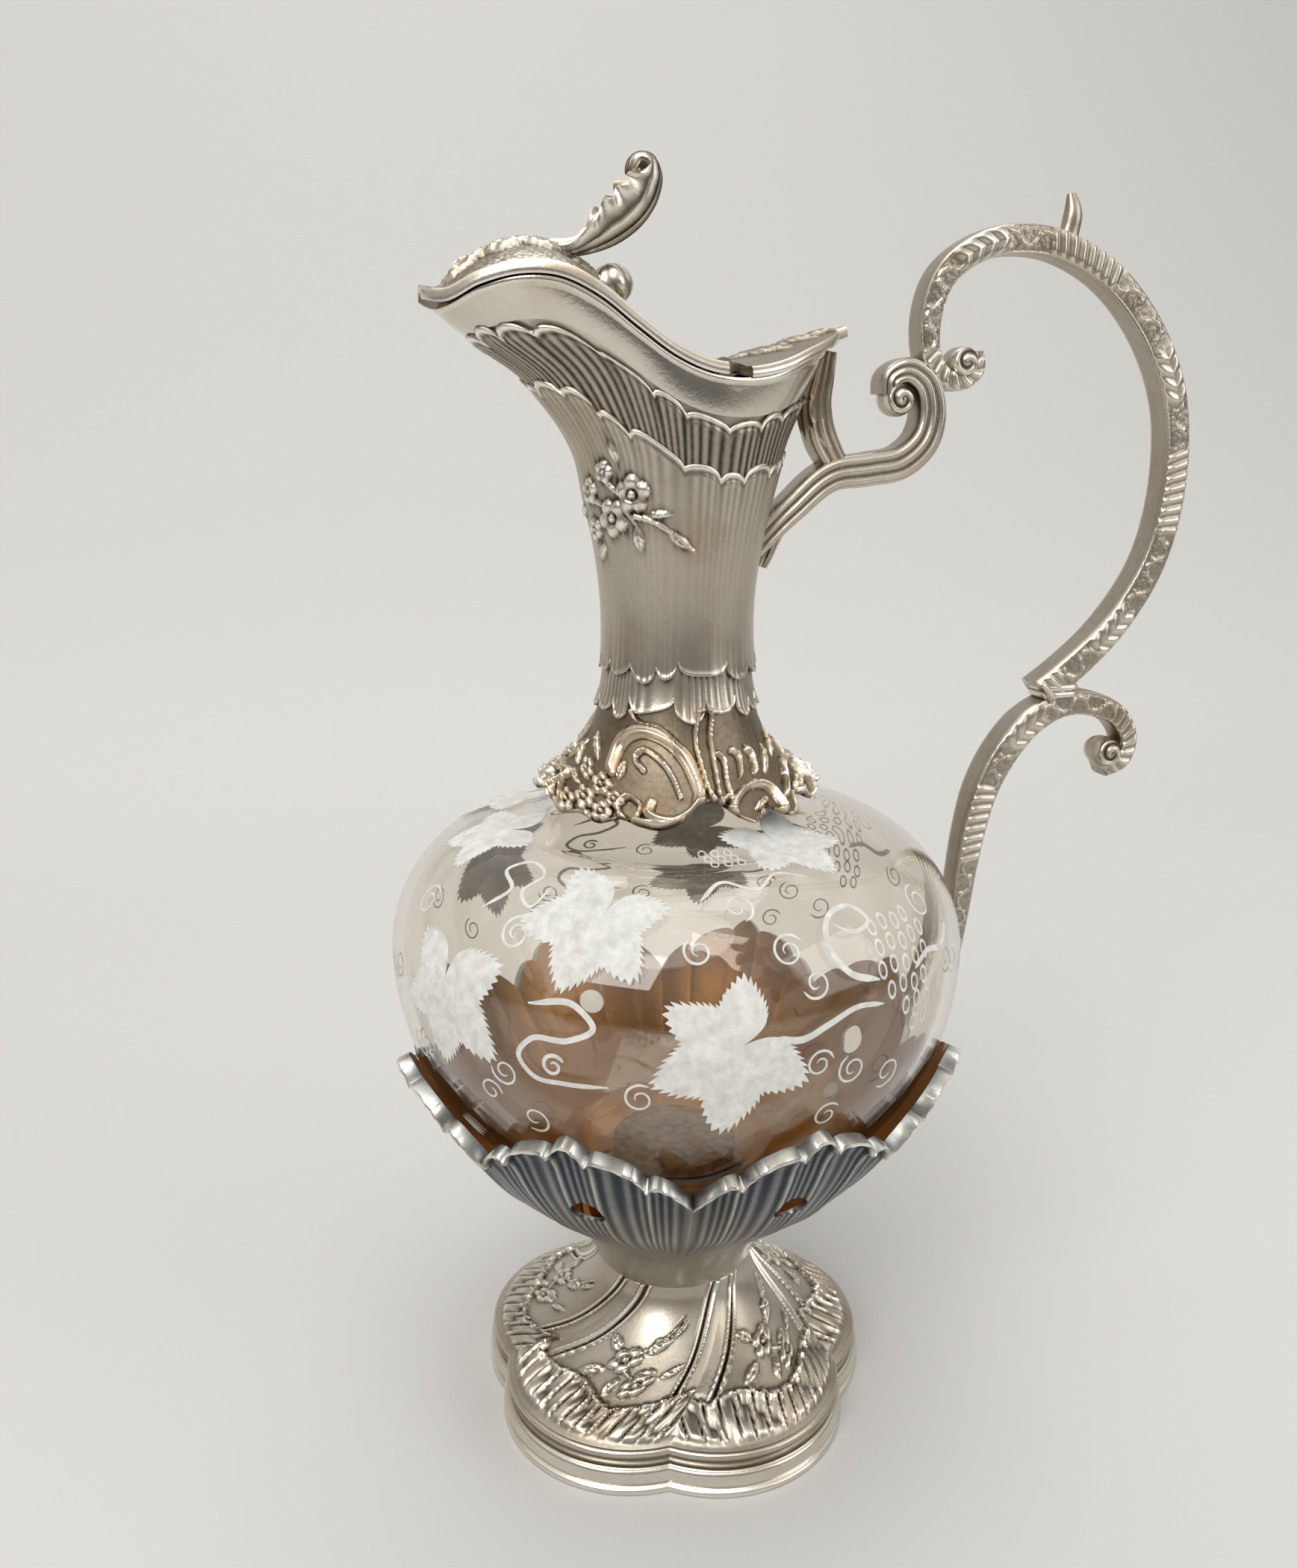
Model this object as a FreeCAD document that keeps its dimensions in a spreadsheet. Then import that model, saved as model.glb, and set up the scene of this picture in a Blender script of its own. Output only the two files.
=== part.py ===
import FreeCAD, Part
import os
from math import cos, pi, radians, sin, sqrt
import Sketcher

Vec = FreeCAD.Vector
UP = Vec(0, 0, 1)
CROSS = Vec(0, 1, 0)

# Silver-mounted glass ewer with a hinged lid.
# Frame: +Z up, origin at the middle of the foot's rest face, spout towards -X, handle towards +X.

# Driving sizes in millimetres. Heights are measured from the rest face, reaches from the jug's axis.
SIZES = {
    # lobed foot and its base moulding
    "foot_tip_radius": 49.5,
    "foot_notch_radius": 44.5,
    "rim_height": 11.0,
    "rim_width": 6.5,
    "rim_step": 1.4,
    "foot_height": 36.0,
    "stem_radius": 18.6,
    "foot_wall": 1.3,
    # pairs of ribs that run down the foot, one on each side of a notch
    "foot_rib_gap": 4.8,
    "foot_rib_width": 2.4,
    "foot_rib_rise": 0.75,
    # bolt that clamps the cup to the foot
    "bolt_radius": 3.0,
    "bolt_clearance": 0.1,
    "bolt_head_radius": 8.0,
    "bolt_head_height": 2.0,
    "bolt_end": 2.5,
    "washer_radius": 9.0,
    "washer_height": 1.2,
    "nut_radius": 6.4,
    "nut_height": 5.0,
    # cup, cork pad and shells under the glass; the shells follow the glass at a clearance
    "cup_wall": 1.5,
    "solder_gap": 0.1,
    "bed_gap": 0.15,
    "shell_foot_radius": 19.6,
    "shell_drop": 27.0,
    "valley_drop": 17.0,
    "shell_wall": 2.4,
    "shell_gap": 0.5,
    "glass_gap": 1.5,
    "flute_depth": 0.7,
    "scallop_rise": 2.0,
    "slot_length": 9.0,
    "slot_width": 4.5,
    # glass, standing above the foot
    "glass_lift": 26.54,
    "glass_radius": 66.5,
    "lower_arc": 60.0,
    "shoulder_arc": 30.0,
    "glass_base_radius": 20.0,
    "glass_wall": 2.6,
    "glass_base": 4.0,
    "glass_neck_radius": 14.0,
    "lip_rise": 25.7,
    # neck mount, following the glass's shoulder and neck at a clearance
    "collar_gap": 0.85,
    "collar_fullness": 4.9,
    "neck_bed": 1.8,
    "bedding_inset": 2.0,
    "waist_rise": 11.7,
    "mouth_rise": 72.0,
    "mouth_half_width": 21.3,
    "spout_reach": 53.5,
    "rear_reach": 35.0,
    "neck_wall": 1.1,
    # tiers of petals on the neck, lapping over each other, and scrolls on the collar
    "petal_rise": 2.4,
    "upper_tier_drop": 10.3,
    "upper_tier_proud": 0.6,
    "sleeve_top_drop": 23.0,
    "sleeve_bottom_drop": 1.4,
    "sleeve_proud": 1.1,
    "skirt_drop": 9.4,
    "skirt_proud": 0.45,
    "collar_scroll_radius": 1.5,
    "collar_rib_radius": 0.9,
    # band along the mouth
    "band_height": 7.5,
    "band_proud": 0.6,
    # lid
    "lid_overhang": 1.5,
    "lid_gap": 0.4,
    "lid_edge": 1.5,
    "lid_crown": 5.5,
    "lid_wall": 1.4,
    "plate_crown": 3.0,
    # hinge
    "hinge_reach": 6.5,
    "hinge_rise": 2.3,
    "knuckle_radius": 2.2,
    "knuckle_length": 7.0,
    "knuckle_gap": 0.3,
    "hinge_gap": 0.4,
    "tongue_height": 1.2,
    "pin_radius": 1.0,
    "pin_clearance": 0.05,
    "pin_head_radius": 1.7,
    "pin_head_height": 0.8,
    # thumb-piece
    "thumb_width": 9.0,
    "thumb_depth": 2.8,
    "thumb_rise": 19.6,
    "thumb_sink": 3.3,
    "bud_radius": 4.2,
    # handle
    "handle_width": 7.2,
    "handle_depth": 5.8,
    "grip_lap": 1.7,
    "grip_reach": 66.2,
    "grip_drop": 71.9,
    "grip_rise": 28.2,
    "grip_sink": 1.2,
    "grip_eye_radius": 3.9,
    "spur_height": 10.5,
    "spur_width": 3.2,
    "spur_length": 6.5,
    "bracket_reach": 24.3,
    "bracket_eye_radius": 3.2,
    "collar_width": 8.6,
    "collar_length": 8.0,
    "collar_height": 3.6,
    "collar_sink": 0.8,
    "scroll_out": 21.5,
    "scroll_standoff": 4.6,
    "scroll_eye_radius": 3.6,
    # screw that holds the lower scroll to its shell
    "screw_radius": 1.2,
    "screw_clearance": 0.05,
    "screw_length": 5.0,
    "screw_head_radius": 2.4,
    "screw_head_height": 1.2,
    # how far a cutting shape runs past what it cuts
    "overrun": 2.0,
}

LOBE_COUNT = 5
FLUTE_COUNT = 7
PETAL_COUNT = 18
HANGING_COUNT = 12
STEM_TWIST_DEGREES = 44.0
SHOULDER_TURN_DEGREES = 85.0
COLLAR_TURN_DEGREES = 83.5
NUT_SIDES = 6
SECTION_BULGE_SHARE = 1.12
# Heights: cup and slot between foot and glass; saddle, crest and bracket between waist and mouth.
CUP_SHARE = 0.4145
SLOT_SHARE = 0.64
SADDLE_LEVEL_SHARE = 0.7833
CREST_LEVEL_SHARE = 1.0361
BRACKET_LEVEL_SHARES = (0.264, 0.825)
BRACKET_ROOT_SHARE = 0.4286
# Thumb-piece and bud: share of the lid's reach.
THUMB_REACH_SHARES = (0.618, 0.08)
BUD_REACH_SHARE = 0.2636

# Foot sections from the stem down: height, size and twist as shares of the way from stem to rim.
FOOT_SHARES = [(0.0, 0.0, 0.0), (0.16, 0.03, 0.12), (0.38, 0.16, 0.33), (0.58, 0.36, 0.55),
               (0.76, 0.60, 0.78), (0.90, 0.83, 0.93), (1.0, 1.0, 1.0)]
# Ribs at the same sections: gap share and rise share.
FOOT_RIB_SHARES = [(0.50, 0.15), (0.54, 0.6), (0.64, 1.0), (0.75, 1.0), (0.88, 1.0), (0.97, 0.7), (1.0, 0.15)]
# Base moulding from the rest face up: height share of the rim, and inset in steps.
RIM_SHARES = [(0.0, 0.0), (0.30, 0.0), (0.40, 0.8), (0.58, 1.3), (0.66, 0.6), (0.90, 0.6), (1.0, 1.5)]
# Outside of a shell from the stem to its edge: radius and height shares.
SHELL_SHARES = [(0.0, 0.0), (0.10, 0.155), (0.24, 0.28), (0.43, 0.405), (0.615, 0.53), (0.80, 0.70),
                (1.0, 1.0)]
# Collar of the neck mount: share of the turn round the glass's hollow neck curve, and fullness share.
COLLAR_SHARES = [(1.0, 0.0), (0.90, 0.50), (0.726, 0.95), (0.483, 0.99), (0.275, 0.81), (0.083, 0.69)]
# Just below the waist: height share of the waist's rise, and fullness share.
WAIST_SHARES = (0.376, 0.045)
# Neck above the waist: height share, then size shares (front, rear, side).
MOUTH_SHARES = [(0.0, 0.0, 0.0, 0.0), (0.165, 0.01, 0.02, 0.05), (0.305, 0.045, 0.09, 0.32),
                (0.445, 0.105, 0.20, 0.57), (0.585, 0.165, 0.32, 0.77), (0.695, 0.29, 0.475, 0.89),
                (0.805, 0.48, 0.70, 0.97), (0.905, 0.77, 0.90, 1.0), (1.0, 1.0, 1.05, 1.01),
                (1.085, 1.17, 1.19, 1.03)]
# Sleeve of petals: how far it stands out at each section of the neck, proud at both edges.
SLEEVE_SHARES = [0.8] * 7 + [0.65, 0.25, 0.30, 0.78, 0.92] + [1.0] * 5
# Hanging petals: radius share of half their pitch, and share of that radius that hangs below the edge.
HANGING_SHARES = (1.12, 0.62)
# Scrolls and ribs on each side of the collar: degrees from the side towards the handle, and share of the
# way up from the collar's edge to the waist.
COLLAR_SCROLL_SHARES = [
    [(-53, 0.44), (-55, 0.55), (-40, 0.63), (-22, 0.60), (-9, 0.47), (-7, 0.32), (-12, 0.19), (-22, 0.13),
     (-30, 0.17), (-29, 0.24)],
    [(4, 0.15), (8, 0.24), (17, 0.31), (26, 0.30), (31, 0.21), (29, 0.12)],
]
COLLAR_RIB_SHARES = [
    [(-7, 0.70), (-5, 0.55), (-2, 0.40), (1, 0.26)],
    [(8, 0.56), (8, 0.45), (9, 0.35)],
    [(20, 0.55), (20, 0.46), (21, 0.38)],
]
# Saddle line of the mouth: reach share (spout side below zero) and rise share from saddle to crest.
SADDLE_SHARES = [(-1.16, 0.97), (-1.0, 0.80), (-0.92, 0.74), (-0.80, 0.90), (-0.655, 1.0), (-0.53, 0.97),
                 (-0.40, 0.785), (-0.27, 0.49), (-0.13, 0.20), (0.0, 0.04), (0.16, 0.0), (0.33, 0.015),
                 (0.50, 0.09), (0.70, 0.24), (1.0, 0.46), (1.25, 0.62)]
# Lid and rear plate: reach share of each cross-section and its crown share.
LID_SHARES = [(-0.985, 0.28), (-0.90, 0.38), (-0.76, 0.70), (-0.60, 0.98), (-0.44, 1.0), (-0.29, 0.86),
              (-0.14, 0.62), (0.0, 0.46), (0.14, 0.42)]
PLATE_SHARES = [(0.16, 0.72), (0.40, 1.0), (0.65, 0.86), (0.90, 0.5), (1.08, 0.42)]
# Handle paths in the plane of the spout: reach shares and height shares between named limits.
# The grip's heights are shares of its rise above the bracket, or of its drop where below zero.
GRIP_SHARES = [(0.07, 0.0), (0.0, 0.308), (0.043, 0.695), (0.183, 0.94), (0.389, 1.0), (0.624, 0.819),
               (0.831, 0.393), (0.963, -0.0686), (1.0, -0.325), (0.941, -0.624), (0.801, -0.83), (0.60, -1.0),
               (0.50, -1.07)]
GRIP_EYE_SHARES = (0.13, 0.07)
GRIP_WIDTH_SHARES = (0.9, 1.0, 1.0, 1.0, 1.1)
GRIP_DEPTH_SHARES = (0.75, 1.0, 1.0, 1.05, 1.2)
SPUR_SHARES = (0.52, 0.947)
SPUR_WIDTH_SHARES = (1.0, 1.2, 0.5)
SPUR_LENGTH_SHARES = (1.0, 0.8, 0.25)
BRACKET_SHARES = [(0.0, 0.0), (0.25, 0.26), (0.46, 0.435), (0.67, 0.47), (0.85, 0.51), (0.97, 0.63),
                  (1.0, 0.80), (0.955, 0.94), (0.855, 1.0), (0.765, 0.955), (0.755, 0.87)]
BRACKET_EYE_SHARES = (0.82, 0.845)
BRACKET_WIDTH_SHARES = (1.0, 1.05, 1.1, 1.0, 0.9)
BRACKET_DEPTH_SHARES = (0.7, 1.0, 1.15, 1.05, 0.65)
STRUT_SHARES = [(0.50, 0.47), (0.475, 0.63), (0.45, 0.80), (0.425, 0.97), (0.405, 1.09)]
STRUT_WIDTH_SHARES = (0.9, 0.8, 0.95)
STRUT_DEPTH_SHARES = (0.75, 0.6, 0.6)
# Lower scroll above the belly: shares from the glass to its far end and from belly to top.
SCROLL_SHARES = [(0.882, 0.657), (0.97, 0.69), (1.0, 0.792), (0.944, 0.913), (0.797, 0.996), (0.629, 1.008),
                 (0.469, 0.931), (0.328, 0.762), (0.246, 0.583), (0.204, 0.403), (0.174, 0.18)]
# Lower scroll below the belly: height share from screw to belly, and share of the standoff from the bowl.
SCROLL_DOWN_SHARES = [(0.945, 0.94), (0.742, 0.85), (0.569, 0.72), (0.42, 0.54), (0.281, 0.30), (0.15, 0.09),
                      (0.01, 0.04)]
SCROLL_EYE_SHARES = (0.901, 0.738)
SCROLL_WIDTH_SHARES = (0.9, 1.0, 1.0, 1.0, 0.9, 0.9, 1.0)
SCROLL_DEPTH_SHARES = (0.6, 0.9, 1.1, 1.0, 0.85, 0.8, 0.75)
THUMB_WIDTH_SHARES = (0.5, 1.0, 1.1, 1.0, 0.6)
THUMB_DEPTH_SHARES = (0.7, 1.0, 1.0, 0.9, 0.5)
THUMB_SHARES = [(0.0, 0.0), (0.28, 0.10), (0.53, 0.31), (0.68, 0.60), (0.80, 0.90), (0.92, 0.96), (1.0, 0.80)]

doc = FreeCAD.newDocument("Ewer")
sheet = doc.addObject("Spreadsheet::Sheet", "Sizes")
for row, (alias, number) in enumerate(SIZES.items(), start=1):
    sheet.set(f"A{row}", alias)
    sheet.set(f"B{row}", str(number))
    sheet.setAlias(f"B{row}", alias)
doc.recompute()


class Size:
    """A length that knows both its number and the sheet expression it comes from."""

    def __init__(self, number, text):
        self.number = number
        self.text = text

    def __add__(self, other):
        return Size(self.number + other.number, f"({self.text} + {other.text})")

    def __sub__(self, other):
        return Size(self.number - other.number, f"({self.text} - {other.text})")


def size(alias):
    return Size(float(sheet.get(alias)), f"Sizes.{alias}")


def mm(alias):
    return float(sheet.get(alias))


def between(low, high, share):
    return low + (high - low) * share


def polar(radius, angle, height):
    return Vec(radius * cos(angle), radius * sin(angle), height)


nodes = []


def keep(item, label):
    item.Label = label
    nodes.append(item)
    return item


def feature(label, shape, placement=None):
    item = doc.addObject("Part::Feature", label)
    item.Shape = shape
    if placement is not None:
        item.Placement = placement
    return keep(item, label)


# Parametric bodies: a sketch whose corners are bound to the sheet, then a revolution or a pad.
def new_body(label):
    return keep(doc.addObject("PartDesign::Body", label), label)


def new_sketch(body, role):
    sketch = body.newObject("Sketcher::SketchObject", f"{body.Name}_sketch")
    plane = [item for item in body.Origin.OriginFeatures if item.Role == role][0]
    sketch.AttachmentSupport = [(plane, "")]
    sketch.MapMode = "FlatFace"
    return sketch


def point_rules(geometry, end, x, y):
    """Constraints that hold one corner, each with the expression that drives it."""
    rules = []
    for kind, value, axis in (("DistanceX", x, -2), ("DistanceY", y, -1)):
        if value.number == 0:
            rules.append((Sketcher.Constraint("PointOnObject", geometry, end, axis), None))
        else:
            rules.append((Sketcher.Constraint(kind, -1, 1, geometry, end, value.number), value.text))
    return rules


def draw_outline(sketch, corners):
    """Closed outline: each corner is (x, y), or (x, y, centre, radius) if an arc leads to it."""
    count = len(corners)
    for index in range(count):
        here = corners[index]
        there = corners[(index + 1) % count]
        start = Vec(here[0].number, here[1].number)
        end = Vec(there[0].number, there[1].number)
        if len(there) == 2:
            sketch.addGeometry(Part.LineSegment(start, end))
        else:
            middle = (start + end) * 0.5 - there[2]
            middle.normalize()
            middle = there[2] + middle * there[3].number
            leftward = (start - there[2]).cross(end - there[2]).z > 0
            first, last = (start, end) if leftward else (end, start)
            sketch.addGeometry(Part.Arc(first, middle, last))
    ends = []
    for index, geometry in enumerate(sketch.Geometry):
        start = Vec(corners[index][0].number, corners[index][1].number)
        forward = geometry.StartPoint.distanceToPoint(start) < geometry.EndPoint.distanceToPoint(start)
        ends.append((1, 2) if forward else (2, 1))
    rules = []
    for index in range(count):
        following = (index + 1) % count
        joint = Sketcher.Constraint("Coincident", index, ends[index][1], following, ends[following][0])
        rules.append((joint, None))
        rules += point_rules(index, ends[index][0], corners[index][0], corners[index][1])
        if len(corners[following]) > 2:
            radius = corners[following][3]
            rules.append((Sketcher.Constraint("Radius", index, radius.number), radius.text))
    sketch.addConstraint([rule for rule, text in rules])
    for place, (rule, text) in enumerate(rules):
        if text is not None:
            sketch.setExpression(f"Constraints[{place}]", text)


def revolved(label, corners):
    body = new_body(label)
    sketch = new_sketch(body, "XZ_Plane")
    draw_outline(sketch, corners)
    turn = body.newObject("PartDesign::Revolution", f"{label}_turn")
    turn.Profile = sketch
    turn.ReferenceAxis = (sketch, ["V_Axis"])
    turn.Angle = 360.0
    return body


ZERO = Size(0.0, "0")


def plain(*numbers):
    return [Size(number, str(number)) for number in numbers]


# Outline of the glass, which places the shells, the neck mount and all that they carry
def glass_floor():
    return mm("foot_height") + mm("glass_lift")


def belly_height():
    reach = mm("glass_base_radius") - mm("glass_radius") + mm("lower_arc")
    return glass_floor() + sqrt(mm("lower_arc") ** 2 - reach ** 2)


def glass_radius_at(height):
    """Outside of the glass below its widest place."""
    return mm("glass_radius") - mm("lower_arc") + sqrt(mm("lower_arc") ** 2 - (belly_height() - height) ** 2)


def shoulder_top():
    lean = radians(SHOULDER_TURN_DEGREES)
    turn = Vec(cos(lean), sin(lean))
    return Vec(mm("glass_radius") - mm("shoulder_arc"), belly_height()) + turn * mm("shoulder_arc"), turn


def neck_curve():
    """Centre and radius of the hollow curve from the glass's shoulder up to its neck."""
    top, turn = shoulder_top()
    sweep = (top.x - mm("glass_neck_radius")) / (1 - turn.x)
    return top + turn * sweep, sweep


def waist_height():
    return neck_curve()[0].y + mm("waist_rise")


def waist_radius():
    return mm("glass_neck_radius") + mm("neck_bed") + mm("neck_wall")


def neck_level(share):
    """Height at a share of the way from the waist to the mouth."""
    return waist_height() + share * mm("mouth_rise")


def lid_reach():
    return mm("spout_reach") + mm("lid_overhang")


def shell_height():
    return belly_height() - mm("shell_drop")


def shell_radius():
    return glass_radius_at(shell_height()) + mm("glass_gap") + mm("shell_wall")


# Lobed foot
def lobed_wire(height, tip, notch, twist):
    """One arc per lobe, from notch to notch; the first lobe points to the handle."""
    step = 2 * pi / LOBE_COUNT
    edges = []
    for lobe in range(LOBE_COUNT):
        middle = radians(twist) + lobe * step
        ends = [polar(notch, middle + side * step / 2, height) for side in (-1, 1)]
        edges.append(Part.Arc(ends[0], polar(tip, middle, height), ends[1]).toShape())
    return Part.Wire(edges)


def lobe_radius(tip, notch, angle):
    """Radius of a lobe's arc at an angle from its tip."""
    half = pi / LOBE_COUNT
    centre = (notch ** 2 - tip ** 2) / (2 * (notch * cos(half) - tip))
    return centre * cos(angle) + sqrt((tip - centre) ** 2 - (centre * sin(angle)) ** 2)


def ribbed_wire(height, tip, notch, twist, gap, rise):
    """Lobed outline with a rib on each side of every notch and a channel between the two."""
    half = pi / LOBE_COUNT
    wide = mm("foot_rib_width") / 2
    low, crest, high = [half - place / notch for place in (gap + wide, gap, gap - wide)]

    def spot(middle, angle, lift):
        return polar(lobe_radius(tip, notch, angle) + lift, middle + angle, height)

    edges = []
    for lobe in range(LOBE_COUNT):
        here = radians(twist) + 2 * half * lobe
        following = here + 2 * half
        valley = polar(notch, here + half, height)
        chain = [spot(here, -low, 0), spot(here, 0, 0), spot(here, low, 0), spot(here, crest, rise),
                 spot(here, high, 0), valley, spot(following, -high, 0), spot(following, -crest, rise),
                 spot(following, -low, 0)]
        for first in range(0, len(chain) - 1, 2):
            edges.append(Part.Arc(*chain[first:first + 3]).toShape())
    return Part.Wire(edges)


def foot_sections(inset, drop):
    stem = mm("stem_radius") - inset
    tip = mm("foot_tip_radius") - RIM_SHARES[-1][1] * mm("rim_step") - inset
    notch = mm("foot_notch_radius") - RIM_SHARES[-1][1] * mm("rim_step") - inset
    top = mm("foot_height") - drop
    sections = []
    for down, out, turned in FOOT_SHARES:
        height = between(top, mm("rim_height"), down)
        twist = STEM_TWIST_DEGREES * (1 - turned)
        sections.append((height, between(stem, tip, out), between(stem, notch, out), twist))
    return sections


def build_foot():
    ribbed = []
    for section, (gap, rise) in zip(foot_sections(0, 0), FOOT_RIB_SHARES):
        ribbed.append(ribbed_wire(*section, gap * mm("foot_rib_gap"), rise * mm("foot_rib_rise")))
    outside = Part.makeLoft(ribbed, True, False)
    wires = [lobed_wire(*section) for section in foot_sections(mm("foot_wall"), mm("foot_wall"))]
    last = wires[-1].copy()
    last.translate(UP * -mm("overrun"))
    inside = Part.makeLoft(wires, True, False)
    skirt = Part.makeLoft([wires[-1], last], True, True)
    hole = Part.makeCylinder(mm("bolt_radius") + mm("bolt_clearance"), mm("foot_height"))
    feature("foot", outside.cut(inside).cut(skirt).cut(hole))


def build_foot_rim():
    wires = []
    for up, inset in RIM_SHARES:
        shrink = inset * mm("rim_step")
        height = up * mm("rim_height")
        wires.append(lobed_wire(height, mm("foot_tip_radius") - shrink, mm("foot_notch_radius") - shrink, 0))
    ring = Part.makeLoft(wires, True, True)
    tip = mm("foot_tip_radius") - mm("rim_width")
    notch = mm("foot_notch_radius") - mm("rim_width")
    levels = (-mm("overrun"), mm("rim_height") + mm("overrun"))
    ends = [lobed_wire(height, tip, notch, 0) for height in levels]
    feature("foot_rim", ring.cut(Part.makeLoft(ends, True, True)))


# Bolt, washer and nut
def build_bolt():
    plate_bottom = size("foot_height") - size("foot_wall")
    washer_bottom = plate_bottom - size("washer_height")
    nut_bottom = washer_bottom - size("nut_height")
    cup_floor = size("foot_height") + size("cup_wall")
    head_top = cup_floor + size("bolt_head_height")
    bolt_bottom = nut_bottom - size("bolt_end")
    bore = size("bolt_radius") + size("bolt_clearance")
    shank = size("bolt_radius")
    head = size("bolt_head_radius")
    revolved("tie_bolt", [(ZERO, bolt_bottom), (shank, bolt_bottom), (shank, cup_floor), (head, cup_floor),
                          (head, head_top), (ZERO, head_top)])
    revolved("tie_washer", [(bore, washer_bottom), (size("washer_radius"), washer_bottom),
                            (size("washer_radius"), plate_bottom), (bore, plate_bottom)])
    prism = doc.addObject("Part::Prism", "nut_blank")
    prism.Polygon = NUT_SIDES
    prism.setExpression("Circumradius", "Sizes.nut_radius")
    prism.setExpression("Height", "Sizes.nut_height")
    prism.setExpression("Placement.Base.z", nut_bottom.text)
    thread = doc.addObject("Part::Cylinder", "nut_bore")
    thread.setExpression("Radius", bore.text)
    thread.setExpression("Height", "Sizes.nut_height")
    thread.setExpression("Placement.Base.z", nut_bottom.text)
    nut = doc.addObject("Part::Cut", "tie_nut")
    nut.Base = prism
    nut.Tool = thread
    keep(nut, "tie_nut")


# Shells and cup
def shell_curve(inset):
    """Outside line of a shell in the plane Y = 0, moved towards the axis by the inset."""
    points = []
    for out, up in SHELL_SHARES:
        radius = between(mm("shell_foot_radius"), shell_radius(), out) - inset
        points.append(Vec(radius, 0, between(mm("foot_height"), shell_height(), up)))
    line = Part.BSplineCurve()
    line.interpolate(points)
    return line


def radius_at(line, height):
    cut = Part.Plane(Vec(0, 0, height), UP)
    return line.intersect(cut)[0][0].X


def shell_blank():
    """Fluted wall of one shell: horizontal sections with a wavy outside, from the stem to above the edge."""
    half = pi / LOBE_COUNT
    wires = []
    for out, up in SHELL_SHARES:
        height = between(mm("foot_height"), shell_height(), up)
        outer = between(mm("shell_foot_radius"), shell_radius(), out)
        reach = half - mm("shell_gap") / 2 / outer
        wave = mm("flute_depth") * out
        count = 4 * FLUTE_COUNT
        crest = []
        for index in range(count + 1):
            angle = reach * (2 * index / count - 1)
            ripple = 0.5 - 0.5 * cos(2 * pi * index / 4)
            crest.append(polar(outer - wave * (1 - ripple), angle, height))
        outline = Part.BSplineCurve()
        outline.interpolate(crest)
        inner = outer - mm("shell_wall")
        ends = [polar(inner, side * reach, height) for side in (1, -1)]
        back = Part.Arc(ends[0], Vec(inner, 0, height), ends[1]).toShape()
        sides = [Part.makeLine(crest[-1], ends[0]), Part.makeLine(ends[1], crest[0])]
        wires.append(Part.Wire([outline.toShape(), sides[0], back, sides[1]]))
    return Part.makeLoft(wires, True, False)


def shell_trim():
    """Prism whose upper side is the scalloped edge: one small arch per flute, lowest at the two ends."""
    half = pi / LOBE_COUNT
    line = shell_curve(0)
    corners = []
    for index in range(FLUTE_COUNT + 1):
        share = 2 * index / FLUTE_COUNT - 1
        top = shell_height() - mm("scallop_rise")
        height = between(top, shell_height() - mm("valley_drop"), abs(share) ** 3)
        across = radius_at(line, height) * sin(half * share)
        corners.append(Vec(0, across, height))
    edges = []
    for first, second in zip(corners, corners[1:]):
        peak = (first + second) * 0.5 + UP * mm("scallop_rise")
        edges.append(Part.Arc(first, peak, second).toShape())
    low = mm("foot_height") - mm("overrun")
    wide = shell_radius()
    outer = [Vec(0, wide, corners[-1].z), Vec(0, wide, low), Vec(0, -wide, low), Vec(0, -wide, corners[0].z)]
    chain = [corners[-1]] + outer + [corners[0]]
    edges += [Part.makeLine(first, second) for first, second in zip(chain, chain[1:])]
    return Part.Face(Part.Wire(edges)).extrude(Vec(shell_radius() + mm("overrun"), 0, 0))


def slot_cutter():
    """Pierced oval low in each shell."""
    half = mm("slot_length") / 2 - mm("slot_width") / 2
    reach = shell_radius()
    start = pad_radius().number
    level = mm("foot_height") + SLOT_SHARE * mm("glass_lift")
    ends = []
    for side in (-1, 1):
        base = Vec(start, side * half / 2, level + side * half)
        ends.append(Part.makeCylinder(mm("slot_width") / 2, reach, base, Vec(1, 0, 0)))
    width = mm("slot_width") / 2
    slope = Vec(0, half, 2 * half)
    slope.normalize()
    across = Vec(0, -slope.z, slope.y) * width
    low = Vec(start, -half / 2, level - half)
    high = Vec(start, half / 2, level + half)
    loop = Part.makePolygon([low + across, high + across, high - across, low - across, low + across])
    middle = Part.Face(loop).extrude(Vec(reach, 0, 0))
    return ends[0].fuse(ends[1]).fuse(middle)


def screw_frame():
    """Point on the outside of the first shell where the handle screw sits, and the way out of the shell."""
    line = shell_curve(0)
    share = SHELL_SHARES[4]
    height = between(mm("foot_height"), shell_height(), share[1])
    point = Vec(radius_at(line, height), 0, height)
    along = line.tangent(line.parameter(point))[0]
    if along.z < 0:
        along = -along
    return point, Vec(along.z, 0, -along.x)


def build_shells():
    shell = shell_blank().common(shell_trim()).cut(slot_cutter())
    point, out = screw_frame()
    bore = mm("screw_radius") + mm("screw_clearance")
    back = mm("shell_wall") + mm("overrun")
    hole = Part.makeCylinder(bore, back + mm("overrun"), point - out * back, out)
    for number in range(LOBE_COUNT):
        turn = FreeCAD.Placement(Vec(), UP, 360 * number / LOBE_COUNT)
        shape = shell.cut(hole) if number == 0 else shell
        feature(f"shell_{number + 1}", shape, turn)


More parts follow.
